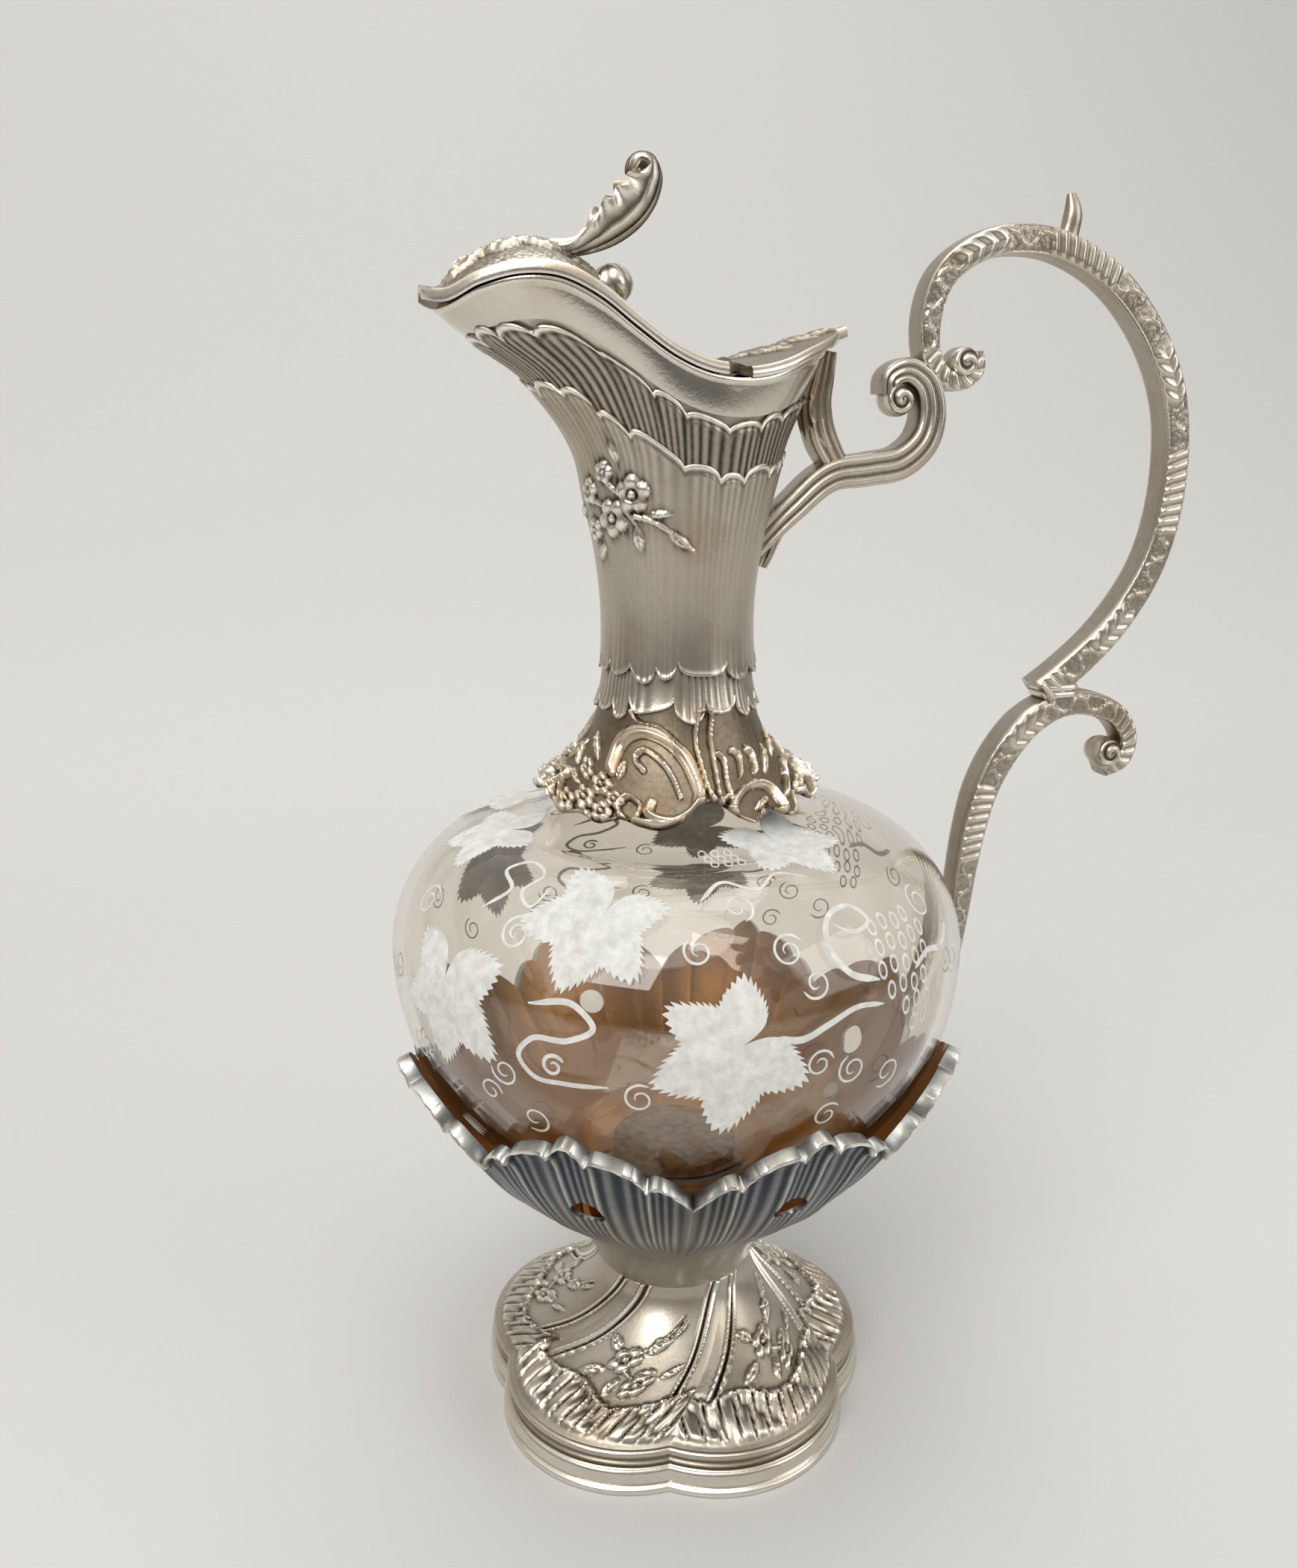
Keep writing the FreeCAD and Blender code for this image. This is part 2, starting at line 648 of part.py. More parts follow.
def build_cup():
    line = shell_curve(mm("shell_wall") + mm("solder_gap"))
    low = mm("foot_height")
    high = low + CUP_SHARE * mm("glass_lift")
    steps = [between(low, high, share) for share in (0.0, 0.5, 1.0)]
    outer = [Vec(radius_at(line, height + mm("solder_gap")), 0, height) for height in steps]
    inner = [point - Vec(mm("cup_wall"), 0, 0) for point in outer]
    floor = mm("foot_height") + mm("cup_wall")
    bore = mm("bolt_radius") + mm("bolt_clearance")
    inner[0] = Vec(inner[0].x, 0, floor)
    edges = [Part.makeLine(Vec(bore, 0, low), outer[0]), Part.Arc(*outer).toShape(),
             Part.makeLine(outer[2], inner[2]), Part.Arc(inner[2], inner[1], inner[0]).toShape(),
             Part.makeLine(inner[0], Vec(bore, 0, floor)),
             Part.makeLine(Vec(bore, 0, floor), Vec(bore, 0, low))]
    feature("base_cup", Part.Face(Part.Wire(edges)).revolve(Vec(), UP, 360))


def pad_radius():
    outside = size("shell_foot_radius") - size("shell_wall") - size("solder_gap")
    return outside - size("cup_wall") - size("bed_gap")


def build_pad():
    bottom = size("foot_height") + size("cup_wall") + size("bolt_head_height") + size("bed_gap")
    pad = doc.addObject("Part::Cylinder", "cork_pad")
    pad.setExpression("Radius", pad_radius().text)
    pad.Height = glass_floor() - mm("bed_gap") - bottom.number
    pad.setExpression("Placement.Base.z", bottom.text)
    keep(pad, "cork_pad")


# Glass
def build_glass():
    belly = belly_height()
    wall = mm("glass_wall")
    low_centre = Vec(mm("glass_radius") - mm("lower_arc"), belly)
    high_centre = Vec(mm("glass_radius") - mm("shoulder_arc"), belly)
    top, turn = shoulder_top()
    neck_centre, sweep = neck_curve()
    inner_floor = glass_floor() + mm("glass_base")
    floor_reach = low_centre.x + sqrt((mm("lower_arc") - wall) ** 2 - (belly - inner_floor) ** 2)
    inner_top = high_centre + turn * (mm("shoulder_arc") - wall)
    bottom, inside, reach, middle = plain(glass_floor(), inner_floor, floor_reach, belly)
    top_x, top_y, inner_x, inner_y = plain(top.x, top.y, inner_top.x, inner_top.y)
    neck_z, lip, neck_arc = plain(neck_centre.y, neck_centre.y + mm("lip_rise"), sweep)
    bore = size("glass_neck_radius") - size("glass_wall")
    corners = [
        (ZERO, bottom),
        (size("glass_base_radius"), bottom),
        (size("glass_radius"), middle, low_centre, size("lower_arc")),
        (top_x, top_y, high_centre, size("shoulder_arc")),
        (size("glass_neck_radius"), neck_z, neck_centre, neck_arc),
        (size("glass_neck_radius"), lip),
        (bore, lip),
        (bore, neck_z),
        (inner_x, inner_y, neck_centre, neck_arc + size("glass_wall")),
        (size("glass_radius") - size("glass_wall"), middle, high_centre,
         size("shoulder_arc") - size("glass_wall")),
        (reach, inside, low_centre, size("lower_arc") - size("glass_wall")),
        (ZERO, inside),
    ]
    revolved("glass_body", corners)


# Neck mount, mouth band and lid share these outlines
def egg_wire(height, front, rear, side):
    """Smooth closed outline: half an ellipse towards the spout and half towards the handle."""
    points = []
    count = 24
    for index in range(count):
        angle = 2 * pi * index / count
        reach = rear if cos(angle) > 0 else front
        points.append(Vec(reach * cos(angle), side * sin(angle), height))
    line = Part.BSplineCurve()
    line.interpolate(points, PeriodicFlag=True)
    return Part.Wire([line.toShape()])


def neck_sections():
    """From the collar's edge to above the mouth: height, and half sizes to spout, handle and sides."""
    centre, sweep = neck_curve()
    sections = []
    for turned, full in COLLAR_SHARES:
        angle = radians(COLLAR_TURN_DEGREES * turned)
        bend = sweep - mm("collar_gap") - mm("collar_fullness") * full
        radius = centre.x - bend * cos(angle)
        sections.append((centre.y - bend * sin(angle), radius, radius, radius))
    radius = waist_radius() + mm("collar_fullness") * WAIST_SHARES[1]
    sections.append((centre.y + mm("waist_rise") * WAIST_SHARES[0], radius, radius, radius))
    ends = [mm("spout_reach"), mm("rear_reach"), mm("mouth_half_width")]
    for up, *shares in MOUTH_SHARES:
        halves = [between(waist_radius(), end, share) for end, share in zip(ends, shares)]
        sections.append((neck_level(up), *halves))
    return sections


def neck_solid(grow, shares=None):
    """Whole neck from collar to above the mouth, filled, with each section moved out by a share of grow."""
    sections = neck_sections()
    wires = []
    for (height, *halves), share in zip(sections, shares or [1] * len(sections)):
        wires.append(egg_wire(height, *[half + grow * share for half in halves]))
    return Part.makeLoft(wires, True, False)


def saddle_point(share, rise, lift):
    reach = lid_reach() if share < 0 else mm("rear_reach")
    height = between(neck_level(SADDLE_LEVEL_SHARE), neck_level(CREST_LEVEL_SHARE), rise)
    return Vec(share * reach, 0, height + lift)


def saddle_curve(lift):
    line = Part.BSplineCurve()
    line.interpolate([saddle_point(share, rise, lift) for share, rise in SADDLE_SHARES])
    return line


def saddle_height(reach):
    line = saddle_curve(0)
    return line.intersect(Part.Plane(Vec(reach, 0, 0), Vec(1, 0, 0)))[0][0].Z


def above_saddle(lift):
    """Everything above the saddle line, moved up by lift."""
    edge = saddle_curve(lift).toShape()
    first = edge.Vertexes[0].Point
    last = edge.Vertexes[-1].Point
    roof = neck_level(CREST_LEVEL_SHARE) + lid_reach()
    chain = [last, Vec(last.x, 0, roof), Vec(first.x, 0, roof), first]
    lines = [Part.makeLine(start, end) for start, end in zip(chain, chain[1:])]
    face = Part.Face(Part.Wire([edge] + lines))
    wide = mm("mouth_half_width") * 2
    face.translate(CROSS * -wide)
    return face.extrude(CROSS * wide * 2)


def below_petals(drop):
    """Everything below a row of arches along the saddle line, lowered by drop."""
    line = saddle_curve(-drop)
    total = line.length()
    places = [line.parameterAtDistance(total * index / PETAL_COUNT, line.FirstParameter)
              for index in range(PETAL_COUNT + 1)]
    corners = [line.value(place) for place in places]
    edges = []
    for first, second in zip(corners, corners[1:]):
        edges.append(Part.Arc(first, (first + second) * 0.5 + UP * mm("petal_rise"), second).toShape())
    floor = neck_curve()[0].y
    chain = [corners[-1], Vec(corners[-1].x, 0, floor), Vec(corners[0].x, 0, floor), corners[0]]
    edges += [Part.makeLine(start, end) for start, end in zip(chain, chain[1:])]
    wide = mm("mouth_half_width") * 2
    face = Part.Face(Part.Wire(edges))
    face.translate(CROSS * -wide)
    return face.extrude(CROSS * wide * 2)


def above_petals(drop, turn):
    """Everything above a ring of hanging petals below the waist: a disc on rods that point outwards."""
    level = waist_height() - drop
    reach = waist_radius()
    radius = HANGING_SHARES[0] * pi * reach / HANGING_COUNT
    middle = level + radius * (1 - HANGING_SHARES[1])
    rods = []
    for index in range(HANGING_COUNT):
        angle = 2 * pi * (index + turn) / HANGING_COUNT
        rods.append(Part.makeCylinder(radius, reach, polar(reach / 2, angle, middle), polar(1, angle, 0)))
    return Part.makeCylinder(lid_reach(), mm("mouth_rise"), Vec(0, 0, level)).fuse(rods)


def collar_tube(places, radius):
    """Round bar that lies on the collar along the places, with a ball at each end."""
    sections = neck_sections()[:len(COLLAR_SHARES) + 2]
    line = path_curve([Vec(section[1], 0, section[0]) for section in sections])
    total = line.length()
    points = []
    for degrees, up in places:
        spot = line.value(line.parameterAtDistance(total * up, line.FirstParameter))
        points.append(polar(spot.x, radians(degrees) - pi / 2, spot.z))
    route = path_curve(points)
    ring = Part.Circle(points[0], route.tangent(route.FirstParameter)[0], radius).toShape()
    tube = Part.Wire([route.toShape()]).makePipeShell([Part.Wire([ring])], True, False)
    return tube.fuse([Part.makeSphere(radius, point) for point in (points[0], points[-1])])


def neck_outside():
    """Filled neck with its tiers of petals and, on both sides of the collar, scrolls and ribs."""
    upper = neck_solid(mm("upper_tier_proud")).common(below_petals(mm("upper_tier_drop")))
    sleeve = neck_solid(mm("sleeve_proud"), SLEEVE_SHARES).common(below_petals(mm("sleeve_top_drop")))
    sleeve = sleeve.common(above_petals(mm("sleeve_bottom_drop"), 0))
    skirt = neck_solid(mm("skirt_proud")).common(above_petals(mm("skirt_drop"), 1 / 2))
    high = Part.makeCylinder(lid_reach(), mm("mouth_rise"), Vec(0, 0, neck_level(MOUTH_SHARES[3][0])))
    above = Part.makeCylinder(lid_reach(), mm("mouth_rise"), Vec(0, 0, waist_height()))
    tubes = [collar_tube(places, mm("collar_scroll_radius")) for places in COLLAR_SCROLL_SHARES]
    tubes += [collar_tube(places, mm("collar_rib_radius")) for places in COLLAR_RIB_SHARES]
    tubes += [tube.mirror(Vec(), CROSS) for tube in tubes]
    return neck_solid(0).fuse([upper.common(high), sleeve, skirt.cut(above)] + tubes)


def build_neck():
    outer = neck_outside()
    inner = neck_solid(-mm("neck_wall"))
    band_line = above_saddle(-mm("band_height"))
    feature("neck_mount", outer.cut(inner).cut(band_line))
    band = neck_solid(mm("band_proud")).cut(inner).common(band_line).cut(above_saddle(0))
    feature("spout_band", band)
    low = neck_curve()[0].y
    bottom, top = plain(low + mm("bedding_inset"), low + mm("lip_rise") - mm("bedding_inset"))
    inside = size("glass_neck_radius") + size("bed_gap")
    outside = size("glass_neck_radius") + size("neck_bed") - size("bed_gap")
    revolved("neck_bedding", [(inside, bottom), (outside, bottom), (outside, top), (inside, top)])
    return outer


def half_width(reach):
    limit = lid_reach() if reach < 0 else mm("rear_reach") + mm("band_proud")
    share = min(abs(reach) / limit, 1.0)
    return (mm("mouth_half_width") + mm("band_proud")) * sqrt(1 - share ** 2)


def crowned(shares, crown, lower, narrow, sink):
    """Vaulted slab along the saddle: arched sections across the mouth, from below the saddle to its crown."""
    wires = []
    for share, rise in shares:
        reach = share * (lid_reach() if share < 0 else mm("rear_reach"))
        base = saddle_height(reach) + mm("lid_gap")
        wide = max(half_width(reach), mm("lid_edge") * 2) - narrow
        edge = base + mm("lid_edge") - lower
        peak = base + mm("lid_edge") + rise * crown - lower
        low = base - sink
        left = [Vec(reach, -wide, low), Vec(reach, -wide, edge)]
        right = [Vec(reach, wide, edge), Vec(reach, wide, low)]
        arch = Part.Arc(left[1], Vec(reach, 0, peak), right[0]).toShape()
        lines = [Part.makeLine(left[0], left[1]), arch, Part.makeLine(right[0], right[1]),
                 Part.makeLine(right[1], left[0])]
        wires.append(Part.Wire(lines))
    return Part.makeLoft(wires, True, False)


def hinge_slice(reach, side):
    """Half space in front of (side -1) or behind (side 1) the given reach, as a large box."""
    long = lid_reach() * 2
    corner = Vec(reach if side > 0 else reach - long, -long / 2, neck_level(SADDLE_LEVEL_SHARE) - long / 2)
    return Part.makeBox(long, long, long, corner)


def build_lid():
    sink = mm("overrun")
    clear = mm("knuckle_radius") + mm("hinge_gap")
    front = mm("hinge_reach") - clear
    dome = crowned(LID_SHARES, mm("lid_crown"), 0, 0, sink)
    hollow = crowned(LID_SHARES[1:-1], mm("lid_crown"), mm("lid_wall"), mm("lid_wall"), sink)
    shell = dome.cut(hollow).common(above_saddle(mm("lid_gap"))).common(hinge_slice(front, -1))
    feature("lid_cover", shell)
    rear = mm("hinge_reach") + clear
    plate = crowned(PLATE_SHARES, mm("plate_crown"), mm("lid_gap"), 0, sink)
    lower = mm("lid_gap") + mm("lid_wall")
    hollow = crowned(PLATE_SHARES[:-1], mm("plate_crown"), lower, mm("lid_wall") * 2, sink)
    fixed = plate.cut(hollow).common(above_saddle(0)).common(hinge_slice(rear, 1))
    feature("hinge_plate", fixed)
    return dome


def hinge_centre():
    return Vec(mm("hinge_reach"), 0, neck_level(SADDLE_LEVEL_SHARE) + mm("hinge_rise"))


def barrel(start, length, toward):
    """One hinge barrel along Y with a flat tongue to the leaf that it is soldered to."""
    centre = hinge_centre()
    base = Vec(centre.x, start, centre.z)
    tube = Part.makeCylinder(mm("knuckle_radius"), length, base, CROSS)
    reach = mm("knuckle_radius") + mm("hinge_gap")
    thick = mm("tongue_height")
    corner = Vec(min(centre.x, centre.x + toward * reach), start, centre.z - thick / 2)
    tongue = Part.makeBox(reach, length, thick, corner)
    bore = Part.makeCylinder(mm("pin_radius") + mm("pin_clearance"), length, base, CROSS)
    return tube.fuse(tongue).cut(bore).removeSplitter()


def build_hinge():
    length = mm("knuckle_length")
    outer = length / 2 + mm("knuckle_gap")
    feature("lid_knuckle", barrel(-length / 2, length, -1))
    pair = [barrel(outer, length, 1), barrel(-outer - length, length, 1)]
    feature("fixed_knuckles", Part.makeCompound(pair))
    centre = hinge_centre()
    half = outer + length
    pin = Part.makeCylinder(mm("pin_radius"), 2 * half, Vec(centre.x, -half, centre.z), CROSS)
    for side in (-1, 1):
        end = Vec(centre.x, side * half, centre.z)
        head = Part.makeCylinder(mm("pin_head_radius"), mm("pin_head_height"), end, CROSS * side)
        pin = pin.fuse(head)
    feature("hinge_pin", pin.removeSplitter())


# Handle: bands lofted through barrel-shaped sections along a path in the plane Y = 0
def path_curve(points):
    line = Part.BSplineCurve()
    line.interpolate(points)
    return line


def spread(shares, near, far, low, high):
    return [Vec(between(near, far, out), 0, between(low, high, up)) for out, up in shares]


def band_section(centre, normal, width, depth):
    corners = []
    for across, out in ((-1, -1), (1, -1), (1, 1), (-1, 1)):
        corners.append(centre + CROSS * (across * width / 2) + normal * (out * depth / 2))
    edges = []
    for index in range(4):
        first = corners[index]
        second = corners[(index + 1) % 4]
        middle = centre + ((first + second) * 0.5 - centre) * SECTION_BULGE_SHARE
        edges.append(Part.Arc(first, middle, second).toShape())
    return Part.Wire(edges)


def band(points, widths, depths, count):
    """Smooth bar along the path; widths and depths are evenly spread shares of the handle section."""
    line = path_curve(points)
    total = line.length()
    wires = []
    for index in range(count):
        share = index / (count - 1)
        place = line.parameterAtDistance(total * share, line.FirstParameter)
        along = line.tangent(place)[0]
        normal = Vec(-along.z, 0, along.x)
        wires.append(band_section(line.value(place), normal, even(widths, share), even(depths, share)))
    return Part.makeLoft(wires, True, False)


def even(values, share):
    """Value at a share of the way along evenly spread values."""
    place = share * (len(values) - 1)
    index = min(int(place), len(values) - 2)
    return between(values[index], values[index + 1], place - index)


def eye(point, radius, width):
    return Part.makeCylinder(radius, width, point - CROSS * (width / 2), CROSS)


def shares_of(length, shares):
    return [length * share for share in shares]


def handle_band(points, width_shares, depth_shares, count):
    widths = shares_of(mm("handle_width"), width_shares)
    depths = shares_of(mm("handle_depth"), depth_shares)
    return band(points, widths, depths, count)


def bracket_far():
    return mm("rear_reach") + mm("bracket_reach")


def build_bracket(neck, mouth):
    low, high = [neck_level(share) for share in BRACKET_LEVEL_SHARES]
    limits = (BRACKET_ROOT_SHARE * mm("rear_reach"), bracket_far(), low, high)
    main = handle_band(spread(BRACKET_SHARES, *limits), BRACKET_WIDTH_SHARES, BRACKET_DEPTH_SHARES, 22)
    strut = handle_band(spread(STRUT_SHARES, *limits), STRUT_WIDTH_SHARES, STRUT_DEPTH_SHARES, 8)
    knob = eye(spread([BRACKET_EYE_SHARES], *limits)[0], mm("bracket_eye_radius"), mm("handle_width"))
    shape = main.fuse(strut).fuse(knob)
    feature("bracket", shape.cut(neck).cut(mouth))
    return shape


def grip_point(out, up):
    near = bracket_far() - mm("grip_lap")
    reach = between(near, bracket_far() + mm("grip_reach"), out)
    climb = mm("grip_rise") if up > 0 else mm("grip_drop")
    return Vec(reach, 0, neck_level(BRACKET_LEVEL_SHARES[1]) + up * climb)


def collar_top():
    return neck_level(BRACKET_LEVEL_SHARES[1]) - mm("grip_drop") - mm("grip_sink")


def collar_base():
    return collar_top() - mm("collar_height")


def build_grip(bracket):
    points = [grip_point(out, up) for out, up in GRIP_SHARES]
    main = handle_band(points, GRIP_WIDTH_SHARES, GRIP_DEPTH_SHARES, 24)
    wide = mm("handle_width")
    knob = eye(grip_point(*GRIP_EYE_SHARES), mm("grip_eye_radius"), wide)
    seat = points[-2]
    tall = mm("grip_drop")
    below = Part.makeBox(mm("collar_length") * 4, wide * 4, tall,
                         Vec(seat.x - mm("collar_length") * 2, -wide * 2, collar_top() - tall))
    feature("grip", main.fuse(knob).cut(bracket).cut(below))
    return seat


def build_spur():
    """Small leaf that stands on top of the grip, cut to sit on it."""
    top = grip_point(*SPUR_SHARES)
    height = mm("spur_height")
    lean = mm("spur_width")
    points = [top, top + Vec(lean / 2, 0, height / 2), top + Vec(lean / 4, 0, height)]
    leaf = band(points, shares_of(mm("spur_width"), SPUR_WIDTH_SHARES),
                shares_of(mm("spur_length"), SPUR_LENGTH_SHARES), 6)
    grip = [item for item in nodes if item.Label == "grip"][0].Shape
    feature("grip_spur", leaf.cut(grip))


def scroll_points(seat, screw):
    """From the volute down to the belly, then down along glass and shell to the screw."""
    high = collar_base() + mm("collar_sink") - mm("handle_depth") / 2
    limits = (mm("glass_radius"), seat.x + mm("scroll_out"), belly_height(), high)
    points = spread(SCROLL_SHARES, *limits)
    line = shell_curve(0)
    for up, off in SCROLL_DOWN_SHARES:
        height = between(screw.z, belly_height(), up)
        if height < shell_height():
            bowl = radius_at(line, height)
        else:
            bowl = glass_radius_at(height) + mm("glass_gap") + mm("shell_wall")
        points.append(Vec(bowl + off * mm("scroll_standoff"), 0, height))
    return points, spread([SCROLL_EYE_SHARES], *limits)[0]


def build_scroll(seat):
    wide = mm("handle_width")
    point, out = screw_frame()
    points, middle = scroll_points(seat, point)
    main = handle_band(points, SCROLL_WIDTH_SHARES, SCROLL_DEPTH_SHARES, 30)
    knob = eye(middle, mm("scroll_eye_radius"), wide)
    line = shell_curve(-mm("bed_gap"))
    profile = [Vec(0, 0, line.EndPoint.z), Vec(0, 0, line.StartPoint.z)]
    edges = [line.toShape(), Part.makeLine(line.EndPoint, profile[0]), Part.makeLine(profile[0], profile[1]),
             Part.makeLine(profile[1], line.StartPoint)]
    bowl = Part.Face(Part.Wire(edges)).revolve(Vec(), UP, 360)
    above = Part.makeBox(mm("collar_length"), wide * 4, mm("grip_drop"),
                         Vec(seat.x - mm("collar_length") / 2, -wide * 2, collar_base()))
    bore = mm("screw_radius") + mm("screw_clearance")
    hole = Part.makeCylinder(bore, mm("screw_length") + mm("screw_clearance") + mm("overrun"),
                             point - out * mm("overrun"), out)
    feature("lower_scroll", main.fuse(knob).cut(bowl).cut(above).cut(hole))
    block = Part.makeBox(mm("collar_length"), mm("collar_width"), mm("collar_height"),
                         Vec(seat.x - mm("collar_length") / 2, -mm("collar_width") / 2, collar_base()))
    upright = [edge for edge in block.Edges if abs(edge.tangentAt(0).z) > 0.5]
    feature("joint_collar", block.makeFillet(mm("collar_height") / 3, upright))
    inside = point - out * mm("shell_wall")
    shank = Part.makeCylinder(mm("screw_radius"), mm("screw_length") + mm("shell_wall"), inside, out)
    head = Part.makeCylinder(mm("screw_head_radius"), mm("screw_head_height"), inside, -out)
    feature("handle_screw", shank.fuse(head).removeSplitter())


def build_thumb(dome):
    front, back = [-share * lid_reach() for share in THUMB_REACH_SHARES]
    root = saddle_height(front) + mm("lid_gap") + mm("lid_edge") + mm("lid_crown") - mm("thumb_sink")
    points = spread(THUMB_SHARES, front, back, root, root + mm("thumb_rise"))
    leaf = band(points, shares_of(mm("thumb_width"), THUMB_WIDTH_SHARES),
                shares_of(mm("thumb_depth"), THUMB_DEPTH_SHARES), 14)
    feature("thumb_piece", leaf.cut(dome))
    reach = -BUD_REACH_SHARE * lid_reach()
    base = saddle_height(reach) + mm("lid_gap") + mm("lid_edge") + mm("lid_crown") * LID_SHARES[5][1]
    ball = Part.makeSphere(mm("bud_radius"), Vec(reach, 0, base + mm("bud_radius") / 2))
    feature("thumb_bud", ball.cut(dome).cut(leaf))


build_foot()
build_foot_rim()
build_bolt()
build_cup()
build_shells()
build_pad()
build_glass()
filled_neck = build_neck()
lid_dome = build_lid()
build_hinge()
filled_mouth = neck_solid(mm("band_proud"))
whole_bracket = build_bracket(filled_neck, filled_mouth.common(above_saddle(-mm("band_height"))))
grip_seat = build_grip(whole_bracket)
build_spur()
build_scroll(grip_seat)
build_thumb(lid_dome)

doc.recompute()
for item in doc.Objects:
    if "Invalid" in item.State or "Error" in item.State:
        raise RuntimeError(f"{item.Label} did not rebuild: {item.State}")
for node in nodes:
    if node.Shape.isNull() or not node.Shape.isValid():
        raise RuntimeError(f"{node.Label} has no valid shape")
os.makedirs("parts", exist_ok=True)
for node in nodes:
    node.Shape.exportStep(f"parts/{node.Label}.step")
    box = node.Shape.BoundBox
    print(f"{node.Label}: {len(node.Shape.Solids)} solid(s), {node.Shape.Volume:.0f} mm3,"
          f" x {box.XMin:.1f}..{box.XMax:.1f}, z {box.ZMin:.1f}..{box.ZMax:.1f}")
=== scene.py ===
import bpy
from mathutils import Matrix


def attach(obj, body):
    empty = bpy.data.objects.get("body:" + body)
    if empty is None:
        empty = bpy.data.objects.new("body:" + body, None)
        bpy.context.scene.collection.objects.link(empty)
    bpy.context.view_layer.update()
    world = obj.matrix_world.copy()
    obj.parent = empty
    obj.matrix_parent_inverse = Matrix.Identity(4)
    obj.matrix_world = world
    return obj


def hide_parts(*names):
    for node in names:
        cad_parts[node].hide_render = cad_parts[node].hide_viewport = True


bl_info = {
    "name": "Silver-mounted glass ewer",
    "version": (1, 0, 0),
    "blender": (4, 5, 0),
    "location": "View3D > Sidebar > Ewer",
    "description": "Chased silver mounts, engraved glass and a pale studio for the wine ewer",
    "category": "Object",
}

from math import pi, radians

import bmesh
import bpy
import numpy as np
from mathutils import Vector

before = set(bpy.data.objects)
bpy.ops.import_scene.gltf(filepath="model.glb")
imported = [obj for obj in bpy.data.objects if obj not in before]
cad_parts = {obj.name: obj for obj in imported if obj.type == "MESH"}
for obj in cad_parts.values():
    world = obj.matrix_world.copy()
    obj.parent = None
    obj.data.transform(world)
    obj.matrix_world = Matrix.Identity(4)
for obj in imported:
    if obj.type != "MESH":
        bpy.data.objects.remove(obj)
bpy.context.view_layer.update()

# Lengths below are millimetres in the jug's frame: spout towards -X, handle towards +X, Z up.
# Angles that follow the camera side are degrees to the right of its middle; VIEW turns them to the jug's own.
MM = 0.001
VIEW = -106.0
LOBES = 5
LOBE = 2 * pi / LOBES


def linear(code):
    """sRGB hex value as linear red, green, blue and alpha."""
    parts = np.array([int(code[place:place + 2], 16) for place in (1, 3, 5)]) / 255.0
    bright = ((parts + 0.055) / 1.055) ** 2.4
    return (*np.where(parts <= 0.04045, parts / 12.92, bright).tolist(), 1.0)


# Curves and grids
def through(x, knots, values):
    """Smooth curve through values at knots: cubic pieces whose slopes come from the neighbouring values."""
    knots = np.asarray(knots, float)
    values = np.asarray(values, float)
    slopes = np.gradient(values, knots, axis=0)
    x = np.clip(x, knots[0], knots[-1])
    index = np.clip(np.searchsorted(knots, x) - 1, 0, len(knots) - 2)
    gap = knots[index + 1] - knots[index]
    t = (x - knots[index]) / gap
    if values.ndim > 1:
        t = t[..., None]
        gap = gap[..., None]
    start = values[index] * (1 + 2 * t) * (1 - t) ** 2 + slopes[index] * gap * t * (1 - t) ** 2
    return start + values[index + 1] * t * t * (3 - 2 * t) + slopes[index + 1] * gap * t * t * (t - 1)


def path(points, count):
    """Evenly spaced places on the smooth line through the points: distance along, place and direction."""
    points = np.asarray(points, float)
    knots = np.r_[0, np.cumsum(np.linalg.norm(np.diff(points, axis=0), axis=1))]
    fine = through(np.linspace(0, knots[-1], 3000), knots, points)
    run = np.r_[0, np.cumsum(np.linalg.norm(np.diff(fine, axis=0), axis=1))]
    along = np.linspace(0, run[-1], count)
    places = np.stack([np.interp(along, run, fine[:, axis]) for axis in range(fine.shape[1])], -1)
    ways = np.gradient(places, along, axis=0)
    return along, places, ways / np.linalg.norm(ways, axis=1, keepdims=True)


def ease(x, low, high):
    """Smooth step from 0 at low to 1 at high."""
    t = np.clip((x - low) / (high - low), 0, 1)
    return t * t * (3 - 2 * t)


def dome(gap, width):
    """Half round: 1 on the line, 0 at the given distance from it."""
    return np.sqrt(np.clip(1 - (gap / width) ** 2, 0, 1))


def swell(gap, width):
    """Soft bump: 1 on the line, fading to 0 at the given distance."""
    return 0.5 + 0.5 * np.cos(pi * np.clip(np.abs(gap) / width, 0, 1))


def turned(u, v, degrees):
    """Flat coordinates along and across a direction given in degrees."""
    angle = radians(degrees)
    return u * np.cos(angle) + v * np.sin(angle), v * np.cos(angle) - u * np.sin(angle)


def wrapped(angle):
    """Angle brought between minus and plus half a turn."""
    return (angle + pi) % (2 * pi) - pi


def ring(count):
    """Evenly spaced angles of a full turn, as one row."""
    return np.linspace(0, 2 * pi, count, endpoint=False)[None]


def signed(value, power):
    """Power of a value with its sign kept."""
    return np.sign(value) * np.abs(value) ** power


def about_axis(radius, angle, height):
    """Points at a radius, an angle and a height about the jug's axis."""
    return np.stack(np.broadcast_arrays(radius * np.cos(angle), radius * np.sin(angle), height), -1)


def swept(places, ways, rise, y):
    """Sections along a line in the plane of the spout: rise goes out from the line and y goes across it."""
    parts = (places[:, :1] - ways[:, 1:] * rise, y, places[:, 1:] + ways[:, :1] * rise)
    return np.stack(np.broadcast_arrays(*parts), -1)


def normals(grid, wrap):
    """Unit normals of a grid whose columns run round and whose rows run up."""
    up = np.gradient(grid, axis=0)
    side = np.roll(grid, -1, 1) - np.roll(grid, 1, 1) if wrap else np.gradient(grid, axis=1)
    out = np.cross(side, up)
    return out / np.maximum(np.linalg.norm(out, axis=-1, keepdims=True), 1e-9)


